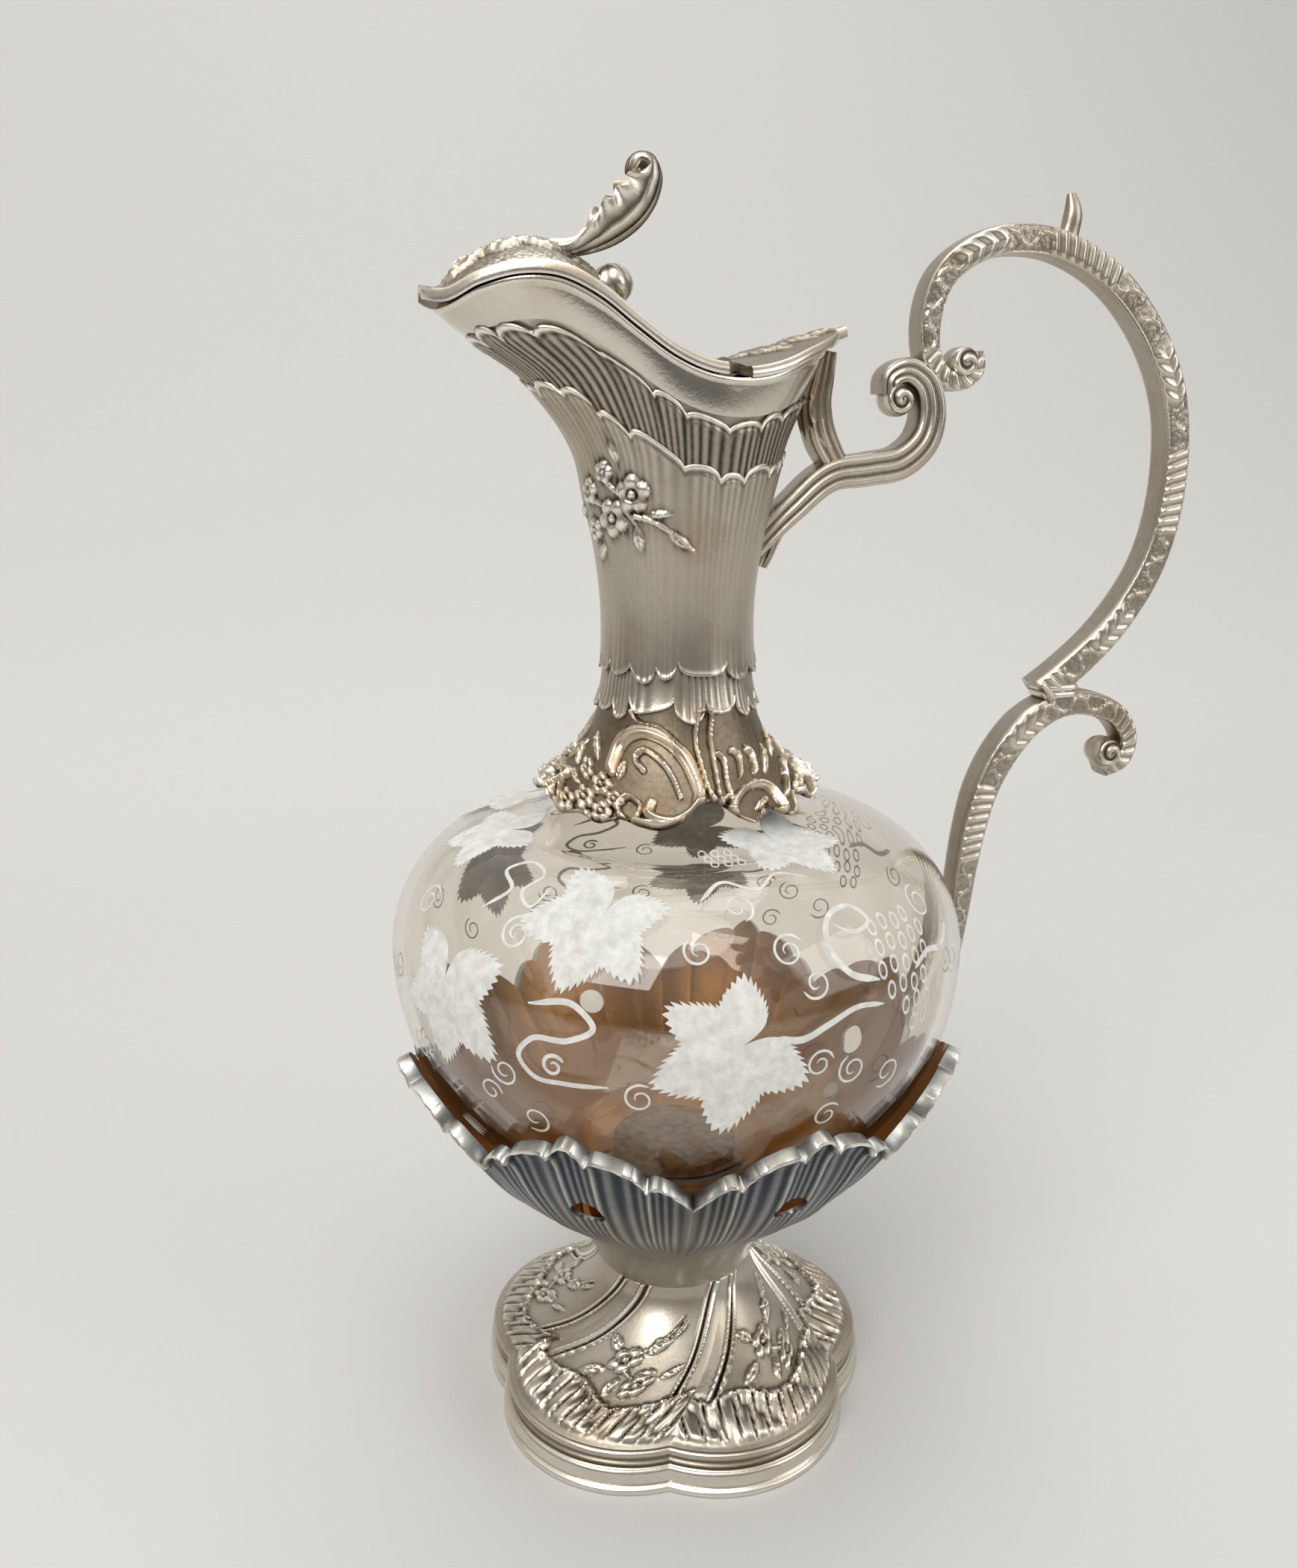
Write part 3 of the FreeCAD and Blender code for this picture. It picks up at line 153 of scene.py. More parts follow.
# Used for the silver's level: hollows darken with oxide and painted shade, ridges brighten with rubbing and
# painted highlight.
def standing(height, steps, wrap):
    """How far each place stands above the mean of the places round it."""
    mean = height
    for _ in range(steps):
        tall = np.pad(mean, ((1, 1), (0, 0)), mode="edge")
        wide = np.pad(mean, ((0, 0), (1, 1)), mode="wrap" if wrap else "edge")
        mean = (tall[:-2] + tall[2:] + wide[:, :-2] + wide[:, 2:] + mean) / 5
    return height - mean


def quads(grid, wrap_rows=False, wrap_columns=False):
    """Corner numbers of the faces on a grid of points."""
    rows, columns = grid.shape[:2]
    index = np.arange(rows * columns).reshape(rows, columns)
    if wrap_rows:
        index = np.vstack([index, index[:1]])
    if wrap_columns:
        index = np.hstack([index, index[:, :1]])
    return np.stack([index[:-1, :-1], index[:-1, 1:], index[1:, 1:], index[1:, :-1]], -1).reshape(-1, 4)


# Ornament: each gives a height from 0 to 1 over flat coordinates in millimetres
def flower(u, v, radius, turn=0.0):
    """Five round petals about a button: the highest of five domes and a smaller one in the middle."""
    height = np.zeros_like(u)
    for petal in range(5):
        angle = radians(turn) + 2 * pi * petal / 5
        gap = np.hypot(u - 0.56 * radius * np.cos(angle), v - 0.56 * radius * np.sin(angle))
        height = np.maximum(height, 0.85 * dome(gap, 0.44 * radius))
    middle = np.hypot(u, v)
    return np.maximum(height * ease(middle, 0.12 * radius, 0.45 * radius), dome(middle, 0.24 * radius))


def leaf(u, v, length, width, turn):
    """Pointed leaf from its stalk at the origin: a lens-shaped dome with a groove along the midrib."""
    along, across = turned(u, v, turn)
    share = np.clip(along / length, 0, 1)
    half = np.maximum(width / 2 * np.sin(pi * share) ** 0.8, 1e-3)
    inside = (along > 0) & (along < length)
    waves = np.cos(2 * pi * (along - np.abs(across)) / (0.24 * length))
    ribs = 1 - 0.35 * swell(across, 0.22 * width) - 0.12 * waves
    return np.where(inside, dome(across, half) * np.minimum(1, 2.2 * half / width) * ribs, 0)


def line_gap(u, v, points, count=40):
    """Distance to the smooth line through the points, and the share of the way along it."""
    _, places, _ = path(points, count)
    best = np.full(u.shape, 1e6)
    share = np.zeros(u.shape)
    near = ((u > places[:, 0].min() - 5) & (u < places[:, 0].max() + 5)
            & (v > places[:, 1].min() - 5) & (v < places[:, 1].max() + 5))
    x = u[near]
    y = v[near]
    low = np.full(x.shape, 1e6)
    place = np.zeros(x.shape)
    for index in range(count - 1):
        step = places[index + 1] - places[index]
        right = x - places[index, 0]
        up = y - places[index, 1]
        t = np.clip((right * step[0] + up * step[1]) / (step @ step), 0, 1)
        gap = np.hypot(right - t * step[0], up - t * step[1])
        closer = gap < low
        low = np.where(closer, gap, low)
        place = np.where(closer, (index + t) / (count - 1), place)
    best[near] = low
    share[near] = place
    return best, share


def stalk(u, v, points, start, end):
    """Rounded stem along a line, its half width going from start to end."""
    gap, share = line_gap(u, v, points)
    return dome(gap, start + (end - start) * share)


def bouquet(u, v, flowers, leaves, share):
    """Highest of some flowers (x, y, radius, turn) and lower leaves (x, y, length, width, turn)."""
    height = np.zeros_like(u)
    for x, y, radius, turn in flowers:
        height = np.maximum(height, flower(u - x, v - y, radius, turn))
    for x, y, length, width, turn in leaves:
        height = np.maximum(height, share * leaf(u - x, v - y, length, width, turn))
    return height


# Pieces
def add_piece(name, grids, materials, body="jug", replaces=(), sharp=38):
    """Welds one or more (points, faces, level of wear and painted shading, material number) grids into a mesh
    that rides on a body.
    """
    points = np.concatenate([grid[0].reshape(-1, 3) for grid in grids]) * MM
    counts = np.cumsum([0] + [grid[0].reshape(-1, 3).shape[0] for grid in grids])
    faces = np.concatenate([grid[1] + start for grid, start in zip(grids, counts)])
    wear = np.concatenate([np.broadcast_to(grid[2], grid[0].shape[:-1]).ravel() for grid in grids])
    kinds = np.concatenate([np.broadcast_to(grid[3], len(grid[1])) for grid in grids])
    mesh = bpy.data.meshes.new(name)
    mesh.vertices.add(len(points))
    mesh.vertices.foreach_set("co", points.astype(np.float32).ravel())
    mesh.loops.add(faces.size)
    mesh.loops.foreach_set("vertex_index", faces.astype(np.int32).ravel())
    mesh.polygons.add(len(faces))
    mesh.polygons.foreach_set("loop_start", np.arange(0, faces.size, 4, dtype=np.int32))
    mesh.polygons.foreach_set("material_index", kinds.astype(np.int32))
    mesh.update(calc_edges=True)
    # Level that the silver's colour follows: real wear and oxide, with painted shade in the hollows and
    # painted highlight on the high places.
    mark = mesh.attributes.new("wear", "FLOAT", "POINT")
    mark.data.foreach_set("value", np.clip(wear, 0, 1).astype(np.float32))
    weld = bmesh.new()
    weld.from_mesh(mesh)
    bmesh.ops.remove_doubles(weld, verts=weld.verts, dist=1e-7)
    bmesh.ops.dissolve_degenerate(weld, edges=weld.edges, dist=1e-8)
    weld.to_mesh(mesh)
    weld.free()
    mesh.polygons.foreach_set("use_smooth", np.ones(len(mesh.polygons), bool))
    mesh.set_sharp_from_angle(angle=radians(sharp))
    for material in materials:
        mesh.materials.append(material)
    piece = add_holder(bpy.context.scene, name, mesh)
    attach(piece, body)
    if replaces:
        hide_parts(*replaces)


def sheet_round(base, height, thick, wear, backs=6):
    """Closed wall round the jug: the raised outside, then a few plain rows back down the inside."""
    out = normals(base, True)
    outside = base + out * height[..., None]
    rows = np.linspace(len(base) - 1, 0, backs).round().astype(int)
    inside = base[rows] - out[rows] * thick
    grid = np.concatenate([outside, inside])
    faces = quads(grid, wrap_rows=True, wrap_columns=True)
    # The inside rows take a darker fixed level: painted shade inside the wall.
    shade = np.concatenate([wear, np.full(inside.shape[:2], 0.35)])
    return grid, faces, shade, 0


def capped_bar(grid, wear):
    """Bar of closed sections whose two ends close on their middles."""
    first = np.broadcast_to(grid[:1].mean(1, keepdims=True), grid[:1].shape)
    last = np.broadcast_to(grid[-1:].mean(1, keepdims=True), grid[:1].shape)
    whole = np.concatenate([first, grid, last])
    shade = np.concatenate([wear[:1], wear, wear[-1:]])
    return whole, quads(whole, wrap_columns=True), shade, 0


# Foot: five lobes that twist from the stem to the rim, as shares of the way down, out and round
FOOT_DOWN = (0.0, 0.16, 0.38, 0.58, 0.76, 0.90, 1.0)
FOOT_OUT = (0.0, 0.03, 0.16, 0.36, 0.60, 0.83, 1.0)
FOOT_TURN = (0.0, 0.12, 0.33, 0.55, 0.78, 0.93, 1.0)


def lobed(angle, tip, notch):
    """Radius of five arcs set round a centre, from each notch over its tip to the next notch."""
    across = (angle + LOBE / 2) % LOBE - LOBE / 2
    centre = (notch ** 2 - tip ** 2) / (2 * (notch * np.cos(LOBE / 2) - tip))
    return centre * np.cos(across) + np.sqrt((tip - centre) ** 2 - (centre * np.sin(across)) ** 2), across


STEM_RADIUS = 18.6
STEM_LEVEL = 36.0
RIM_LEVEL = 11.0
FOOT_TIP = 47.4
FOOT_NOTCH = 42.4
FOOT_SLANT = 40.0
FOOT_TWIST = radians(44.0)


def foot_grid(rows, columns):
    """Foot from rim to stem: points, radius, angle and number within the lobe, and share of the way down."""
    angle = ring(columns)
    down = np.linspace(1, 0, rows)[:, None]
    out = through(down, FOOT_DOWN, FOOT_OUT)
    twist = FOOT_TWIST * (1 - through(down, FOOT_DOWN, FOOT_TURN))
    tip = STEM_RADIUS + (FOOT_TIP - STEM_RADIUS) * out
    notch = STEM_RADIUS + (FOOT_NOTCH - STEM_RADIUS) * out
    radius, across = lobed(angle - twist, tip, notch)
    height = STEM_LEVEL + (RIM_LEVEL - STEM_LEVEL) * down
    lobe = np.floor(((angle - twist + LOBE / 2) % (2 * pi)) / LOBE)
    return about_axis(radius, angle, height), radius, across, lobe, down + 0 * angle


def build_foot(silver):
    """Double ribs beside each notch, flowers on each lobe and a fringe of slanting flutes at the rim."""
    base, radius, across, lobe, down = foot_grid(132, 620)
    u = across * radius
    v = (1 - down) * FOOT_SLANT
    beside = (LOBE / 2 - np.abs(across)) * radius
    place = 2.3 + 2.4 * down
    ends = ease(down, 0.0, 0.04) * (1 - ease(down, 0.76, 0.82))
    lines = (dome(beside - place, 0.62) + 0.75 * dome(beside - place - 1.7, 0.5)) * ends
    channel = -0.35 * swell(beside - place - 0.9, 1.6) * ends + 0.55 * dome(beside, place) * ends
    sway = 1.2 * np.sin(lobe * 2.3)
    flowers = ((-3.2, 16.4, 3.5, 10), (4.6, 11.8, 3.0, 40), (1.4, 21.6, 1.9, 0))
    leaves = ((-6.2, 17.5, 5.5, 2.8, 140), (0.0, 18.4, 6.0, 2.6, 52), (1.6, 14.0, 4.6, 2.6, 8),
              (-5.4, 13.4, 5.6, 2.8, 215), (-1.0, 12.6, 4.4, 2.4, -70), (7.4, 13.6, 4.6, 2.4, 40),
              (3.4, 22.6, 5.4, 2.0, 75))
    spray = bouquet(u - sway, v, flowers, leaves, 0.75)
    for points in (((-2, 18), (0.5, 21), (2.5, 25), (3.5, 29)), ((-3, 15), (0.5, 13.5), (4, 12.5))):
        spray = np.maximum(spray, 0.5 * stalk(u - sway, v, points, 0.5, 0.3))
    swing = 3.4 * across / (LOBE / 2)
    run = (u + 0.5 * v + swing) / 3.3 + 0.22 * np.sin(1.7 * u + 2 * lobe)
    ragged = (7.6 + 1.3 * np.sin(9 * across + 1.1 * lobe) + 1.3 * dome(2 * (run % 1) - 1, 1.05)
              + 1.2 * swell(beside, 4.0))
    fringe = ease(ragged - v, 0.0, 0.6) * ease(v, 0.8, 2.2)
    flutes = np.abs(np.cos(pi * run))
    rolled = swell(ragged - v - 0.7, 0.9) * ease(v, 2.5, 4.0)
    height = 0.85 * lines + channel + 1.15 * spray + fringe * (0.15 + 0.95 * flutes) * 0.85 + 0.45 * rolled
    height = height * ease(v, 0.0, 0.8)
    # Level: real oxide and rubbing, with painted shade in the hollows and grooves and painted highlight on
    # the ribs.
    wear = 0.58 + 0.80 * standing(height, 14, True) + 0.14 * lines - 0.06 * fringe * (1 - flutes)
    add_piece("foot_chased", [sheet_round(base, height, 1.3, wear, 10)], [silver], replaces=("foot",))


def build_rim(silver):
    """Base moulding: flange, round moulding, hollow and fillet carried round the five lobes."""
    angle = ring(620)
    profile = [(0.0, 6.5), (0.0, 0.35), (0.3, 0.0), (1.3, 0.0), (1.6, 0.3), (1.8, 1.0), (2.1, 1.15)]
    bead = np.linspace(0, pi, 19)
    profile += [(4.3 - 2.1 * np.cos(step), 1.15 - 0.95 * np.sin(step)) for step in bead]
    hollow = np.linspace(0, pi, 15)
    profile += [(8.0 - 1.3 * np.cos(step), 1.35 + 1.5 * np.sin(step)) for step in hollow]
    profile += [(9.6, 1.25), (10.2, 1.05), (10.7, 1.3), (11.0, 2.2), (11.0, 6.5)]
    shape = np.array(profile)
    radius, _ = lobed(angle, 49.5 - shape[:, 1:], 44.5 - shape[:, 1:])
    grid = about_axis(radius, angle, shape[:, :1])
    # Painted shade: the level falls with the inset, so the hollow moulding and the inner faces turn darker.
    wear = np.clip(0.95 - 0.24 * shape[:, 1:], 0.25, 1) + 0 * radius
    add_piece("foot_moulding", [(grid, quads(grid, True, True), wear, 0)], [silver], replaces=("foot_rim",),
              sharp=50)


# Shells that hold the glass: heights and radii of their outside, and the crests of their edge
SHELL_UP = (36.0, 45.0, 52.2, 59.5, 66.7, 76.6, 94.0, 103.0)
SHELL_OUT = (19.6, 24.0, 30.3, 38.7, 46.9, 55.1, 64.0, 67.4)
CREST = 2 * pi / 8
CREST_START = radians(9.0)
HOLE_LEVEL = 78.0
HOLE_OUT = 56.0
HOLE_RADIUS = 3.9
# Length along the slanting wall for each millimetre of height
SLANT = 1.25


def shell_edge(angle):
    """Edge of the bowl: eight crests, each a fan of five small arches that step down to its valleys."""
    fan = ((angle - CREST_START) / CREST + 0.5) % 1 * 2 - 1
    part = (fan + 1) / 2 * 5 + 0.12 * np.sin(3 * pi * fan)
    arch = 2 * (part % 1) - 1
    edge = 98.6 - 13.0 * np.abs(fan) ** 1.2 + 3.6 * np.sqrt(1 - 0.97 * arch ** 2) - 0.6
    return fan, part, arch, edge


def pierce(angle, height, middle):
    """Round hole about a middle: its cells, and angles and heights with its rim points drawn onto it."""
    side = wrapped(angle - middle) * HOLE_OUT
    rise = (height - HOLE_LEVEL) * SLANT
    reach = np.hypot(side, rise) / HOLE_RADIUS
    gone = (reach[:-1, :-1] + reach[1:, :-1] + reach[:-1, 1:] + reach[1:, 1:]) / 4 < 1
    pad = np.pad(gone, 1)
    corners = (pad[:-1, :-1], pad[1:, :-1], pad[:-1, 1:], pad[1:, 1:])
    rim = np.logical_or.reduce(corners) & ~np.logical_and.reduce(corners)
    pull = np.where(rim, 1 / np.maximum(reach, 1e-3), 1.0)
    return gone, angle + side * (pull - 1) / HOLE_OUT, height + rise * (pull - 1) / SLANT


def two_sided(outside, inside, gone):
    """Faces of a wall with holes: its front, its back, the outer edge and the edge of each hole."""
    rows, columns = outside.shape[:2]
    number = np.arange(rows * columns).reshape(rows, columns)
    behind = rows * columns
    keep = ~gone.ravel()
    front = quads(outside)[keep]
    back = quads(inside)[keep][:, ::-1] + behind
    loop = np.r_[number[0], number[1:, -1], number[-1, -2::-1], number[-2:0:-1, 0]]
    runs = [(loop, np.roll(loop, -1))]
    for here, there, first, second in ((gone[:, :-1], gone[:, 1:], number[:-1, 1:-1], number[1:, 1:-1]),
                                       (gone[:, 1:], gone[:, :-1], number[1:, 1:-1], number[:-1, 1:-1]),
                                       (gone[1:], gone[:-1], number[1:-1, :-1], number[1:-1, 1:]),
                                       (gone[:-1], gone[1:], number[1:-1, 1:], number[1:-1, :-1])):
        edge = here & ~there
        runs.append((second[edge], first[edge]))
    sides = [np.stack([start, start + behind, end + behind, end], -1) for start, end in runs]
    kinds = np.zeros(len(front) + len(back) + sum(len(side) for side in sides), int)
    kinds[len(front):len(front) + len(back)] = 1
    return np.concatenate([front, back] + sides), kinds


def build_shells(silver, gilt):
    """Fans of hollow, grooved flutes with a rolled, scalloped edge; crests clear of a seam are pierced."""
    up = np.linspace(0, 1, 112)[:, None]
    for shell in range(LOBES):
        turn = LOBE * shell
        angle = turn + np.linspace(-1, 1, 225)[None] * LOBE / 2
        fan, part, arch, edge = shell_edge(angle)
        height = STEM_LEVEL + (edge - STEM_LEVEL) * up
        angle = angle + 0 * height
        gone = np.zeros((height.shape[0] - 1, height.shape[1] - 1), bool)
        for middle in CREST_START + CREST * np.arange(8):
            if abs(wrapped(middle - turn)) < LOBE / 2 - 0.1:
                hole, angle, height = pierce(angle, height, middle)
                gone = gone | hole
        radius = through(height, SHELL_UP, SHELL_OUT)
        below = (edge - height) * SLANT
        spread = ease(up, 0.30, 0.80)
        hollow = dome(arch, 1.02) * spread
        grooves = np.cos(2 * pi * part * 4) * ease(up, 0.2, 0.6)
        valley = swell((1 - np.abs(fan)) * CREST / 2 * radius, 1.6) * spread
        lip = swell(below - 0.8, 1.6)
        relief = -1.15 * hollow * (1 - swell(below, 2.2)) + 0.10 * grooves + 1.35 * lip - 0.7 * valley
        relief = relief + 0.9 * swell(below, 9.0) * spread
        base = about_axis(radius, angle, height)
        out = normals(base, False)
        outside = base + out * relief[..., None]
        inside = base - out * (1.6 - 0.3 * hollow)[..., None]
        faces, kinds = two_sided(outside, inside, gone)
        # Level: oxide and rubbing, with painted shade in the flute hollows and painted highlight on the
        # rolled lip.
        wear = 0.47 + 0.75 * standing(relief, 10, False) + 0.40 * lip + 0.11 * grooves * (1 - lip)
        wear = wear + 0.30 * (1 - ease(up, 0.1, 0.5)) - 0.14 * hollow * ease(up, 0.5, 0.9) * (1 - lip)
        shade = np.stack([wear, np.full(wear.shape, 0.5)])
        add_piece(f"shell_fluted_{shell + 1}", [(np.stack([outside, inside]), faces, shade, kinds)],
                  [silver, gilt], replaces=(f"shell_{shell + 1}",), sharp=50)


# Glass: centres and outer radii of its belly, shoulder and neck arcs, and the levels of its base and floor
BELLY = (6.5, 121.0)
BELLY_RADIUS = 60.0
SHOULDER = (36.5, 121.0)
SHOULDER_RADIUS = 30.0
NAPE = (41.51, 178.29)
NAPE_RADIUS = 27.51
GLASS_WALL = 2.6
GLASS_BASE = 62.54
GLASS_FLOOR = 66.54


def glass_line():
    """Meridian of the glass from the middle of its base, up the outside, over the lip and down the inside."""
    def arc(centre, radius, start, end, count):
        """Points of an arc between two angles in degrees."""
        angle = np.radians(np.linspace(start, end, count))
        return np.stack([centre[0] + radius * np.cos(angle), centre[1] + radius * np.sin(angle)], -1)
    low = -np.degrees(np.arccos(13.5 / BELLY_RADIUS))
    inner_low = -np.degrees(np.arcsin((BELLY[1] - GLASS_FLOOR) / (BELLY_RADIUS - GLASS_WALL)))
    outside = [arc(BELLY, BELLY_RADIUS, low, 0, 90), arc(SHOULDER, SHOULDER_RADIUS, 0, 85, 60)[1:],
               arc(NAPE, NAPE_RADIUS, 265, 180, 40)[1:],
               np.array([(14.0, 191.0), (14.0, 203.2), (13.4, 204.0)])]
    inside = [np.array([(12.0, 204.0), (11.4, 203.2), (11.4, 191.0)]),
              arc(NAPE, NAPE_RADIUS + GLASS_WALL, 180, 265, 40),
              arc(SHOULDER, SHOULDER_RADIUS - GLASS_WALL, 85, 0, 60)[1:],
              arc(BELLY, BELLY_RADIUS - GLASS_WALL, 0, inner_low, 80)[1:]]
    start = np.array([(0.0, GLASS_BASE), (10.0, GLASS_BASE), (18.8, GLASS_BASE)])
    reach = inside[-1][-1][0]
    end = np.array([(reach * 0.9, GLASS_FLOOR - 0.04), (reach * 0.5, GLASS_FLOOR), (0.0, GLASS_FLOOR)])
    return np.concatenate([start] + outside + inside + [end]), np.concatenate(outside[:3])


def build_glass(glass):
    """Bottle: the meridian turned about the axis, closed on it at both ends."""
    line, _ = glass_line()
    grid = about_axis(line[:, :1], ring(192), line[:, 1:])
    bottle = (grid, quads(grid, wrap_columns=True), 1.0, 0)
    add_piece("glass_bottle", [bottle], [glass], replaces=("glass_body",), sharp=60)


def on_glass(theta, level, u, v, lift):
    """Places flat drawing coordinates on the outside of the glass, about a view angle and a height."""
    _, line = glass_line()
    run = np.r_[0, np.cumsum(np.linalg.norm(np.diff(line, axis=0), axis=1))]
    slope = np.gradient(line, run, axis=0)
    middle = np.interp(level, line[:, 1], run)
    along = np.clip(middle + v, 0, run[-1])
    radius = np.interp(along, run, line[:, 0])
    height = np.interp(along, run, line[:, 1])
    out = np.stack([np.interp(along, run, slope[:, 1]), -np.interp(along, run, slope[:, 0])], -1)
    width = np.interp(middle, run, line[:, 0])
    angle = radians(theta + VIEW) + u / (0.35 * width + 0.65 * radius)
    radius = radius + out[..., 0] * lift
    return about_axis(radius, angle, height + out[..., 1] * lift)


# Outline of a vine leaf: degrees from its tip, and reach as a share of its size
LEAF_TURN = (0, 12, 26, 33, 45, 60, 74, 88, 96, 110, 126, 143, 160, 172, 180)
LEAF_REACH = (1.0, 0.84, 0.70, 0.64, 0.80, 0.98, 0.80, 0.66, 0.61, 0.74, 0.90, 0.74, 0.56, 0.36, 0.10)


def vine_leaf(theta, level, size, turn, lean):
    """Five-lobed, toothed vine leaf: a star-shaped outline filled from its middle, laid on the glass."""
    angle = np.linspace(-180, 180, 361)[None]
    teeth = 17.5 * np.abs(angle) / 180 + 0.35
    saw = (teeth * 2) % 1
    reach = through(np.abs(angle), LEAF_TURN, LEAF_REACH) * (1 + lean * np.sin(np.radians(angle)))
    reach = reach * (1 - 0.12 * saw * ease(180 - np.abs(angle), 6, 30))
    share = np.array((0.0, 0.25, 0.5, 0.7, 0.85, 0.95, 1.0))[:, None]
    u = size * share * reach * np.cos(np.radians(angle + turn))
    v = size * share * reach * np.sin(np.radians(angle + turn))
    return plate_on_glass(theta, level, u, v)


def plate_on_glass(theta, level, u, v):
    """Thin closed plate on the glass: its face, and its back turned the other way."""
    face = on_glass(theta, level, u, v, 0.09)
    back = on_glass(theta, level, u, v, 0.03)
    grid = np.stack([face, back])
    faces = quads(face)
    count = face.shape[0] * face.shape[1]
    outer = np.arange(count - face.shape[1], count)
    skirt = np.stack([outer[:-1], outer[1:], outer[1:] + count, outer[:-1] + count], -1)
    return grid, np.concatenate([faces[:, ::-1], faces + count, skirt[:, ::-1]]), 1.0, 0


def ribbon(theta, level, points, start, end):
    """Engraved line: a flat band along a smooth line on the glass, tapering from start to end."""
    length = np.linalg.norm(np.diff(np.asarray(points, float), axis=0), axis=1).sum()
    along, places, ways = path(points, max(12, int(length / 0.45)))
    share = (along / along[-1])[None]
    half = (start + (end - start) * share) / 2 * np.minimum(1, 0.25 + 10 * np.minimum(share, 1 - share))
    side = np.array((-1.0, 0.0, 1.0))[:, None]
    u = places[:, 0] - side * half * ways[:, 1]
    v = places[:, 1] + side * half * ways[:, 0]
    grid, _, shade, kind = plate_on_glass(theta, level, u, v)
    count = u.size
    faces = quads(grid[0])
    low = np.arange(u.shape[1])
    high = low + count - u.shape[1]
    skirts = [np.stack([low[:-1], low[1:], low[1:] + count, low[:-1] + count], -1),
              np.stack([high[1:], high[:-1], high[:-1] + count, high[1:] + count], -1)]
    walls = [skirt[:, ::-1] for skirt in skirts]
    return grid, np.concatenate([faces, faces[:, ::-1] + count] + walls), shade, kind


def grape(theta, level, x, y, size, turn):
    """Oval grape: a frosted ring about a clear middle."""
    angle = np.linspace(0, 2 * pi, 25)[None]
    share = np.array((0.66, 0.84, 1.0))[:, None]
    a, b = turned(size * share * 0.62 * np.cos(angle), size * share * np.sin(angle), turn)
    grid, _, shade, kind = plate_on_glass(theta, level, x + a, y + b)
    faces = quads(grid[0])
    count = a.size
    return grid, np.concatenate([faces[:, ::-1], faces + count]), shade, kind


def curl(size, turns, start):
    """Points of a spiral about the origin that tightens towards its middle."""
    angle = np.linspace(0, 2 * pi * turns, int(10 * turns) + 2)
    reach = size * (1 - 0.75 * angle / angle[-1])
    return np.stack([reach * np.cos(start + angle), reach * np.sin(start + angle)], -1)


# Vine on the glass, about places given by view angle and height: leaves (size, direction, lean),
# lines (widths at both ends, points) and small curls (size, turns, direction)
VINE_LEAVES = ((8.5, 122.5, 18.5, 205, 0.12), (-16.5, 144.0, 17.0, 250, -0.08),
               (-47, 126.0, 18.5, 265, 0.10), (-69, 150.5, 15.5, 235, 0.0), (37.5, 151.5, 15.5, 280, 0.05))
VINE_LINES = (
    (17, 124.5, 1.6, 0.9, ((-2, -0.5), (4, -1.5), (10, 0.5), (17, 2.5), (24, 1.5))),
    (-20, 122, 1.3, 1.0, ((-8, 7), (2, 8), (6, 4), (1, 1), (-7, 0), (-10, -4), (-7, -8), (0, -8.5), (9, -8))),
    (-22, 117, 0.9, 0.6, curl(2.6, 1.3, 0.5)),
    (34, 141, 1.5, 0.8, ((4, -12), (-3, -9), (-6, -3), (-3, 3), (4, 3.5), (6, 0), (1, -1.5), (-3, 1))),
    (45, 124, 1.6, 0.9, ((22, 10), (16, 7), (9, 8), (3, 6))),
    (-38, 146, 1.0, 0.6, ((-6, -6), (-2, 0), (-7, 4), (-3, 8), (3, 5), (1, 0), (5, -3), (7, 3))),
    (-33, 140, 0.8, 0.5, curl(3.8, 1.6, 1.0)),
    (20, 148, 0.9, 0.5, ((-14, -2), (-8, 3), (-2, 0), (4, 4), (11, 1))))
CURLS = ((24, 117, 3.2, 1.4, 0.2), (31, 114, 3.6, 1.5, 2.0), (40, 110, 3.8, 1.3, 4.0),
         (-32, 113, 3.4, 1.4, 3.0), (-36, 107, 3.0, 1.2, 0.0), (-7, 112, 3.4, 1.4, 1.0),
         (20, 139, 3.6, 1.5, 0.5), (24, 133, 3.2, 1.3, 3.5), (3, 140, 3.0, 1.4, 2.2),
         (12, 146, 3.4, 1.2, 5.0), (58, 140, 4.0, 1.5, 1.2), (64, 126, 3.6, 1.4, 2.6),
         (53, 151, 3.6, 1.5, 0.4), (-62, 139, 3.8, 1.4, 0.9), (-70, 122, 3.6, 1.5, 3.0),
         (27, 104, 3.2, 1.3, 0.6), (-27, 103, 3.6, 1.2, 4.2), (-58, 108, 3.4, 1.4, 1.6))
# Bunches of grapes: places of the large and the small one, and grapes in each row of the large one
BUNCH = (45, 131.5)
SMALL_BUNCH = (12, 151.0)
BUNCH_ROWS = (4, 5, 5, 4, 3, 2)


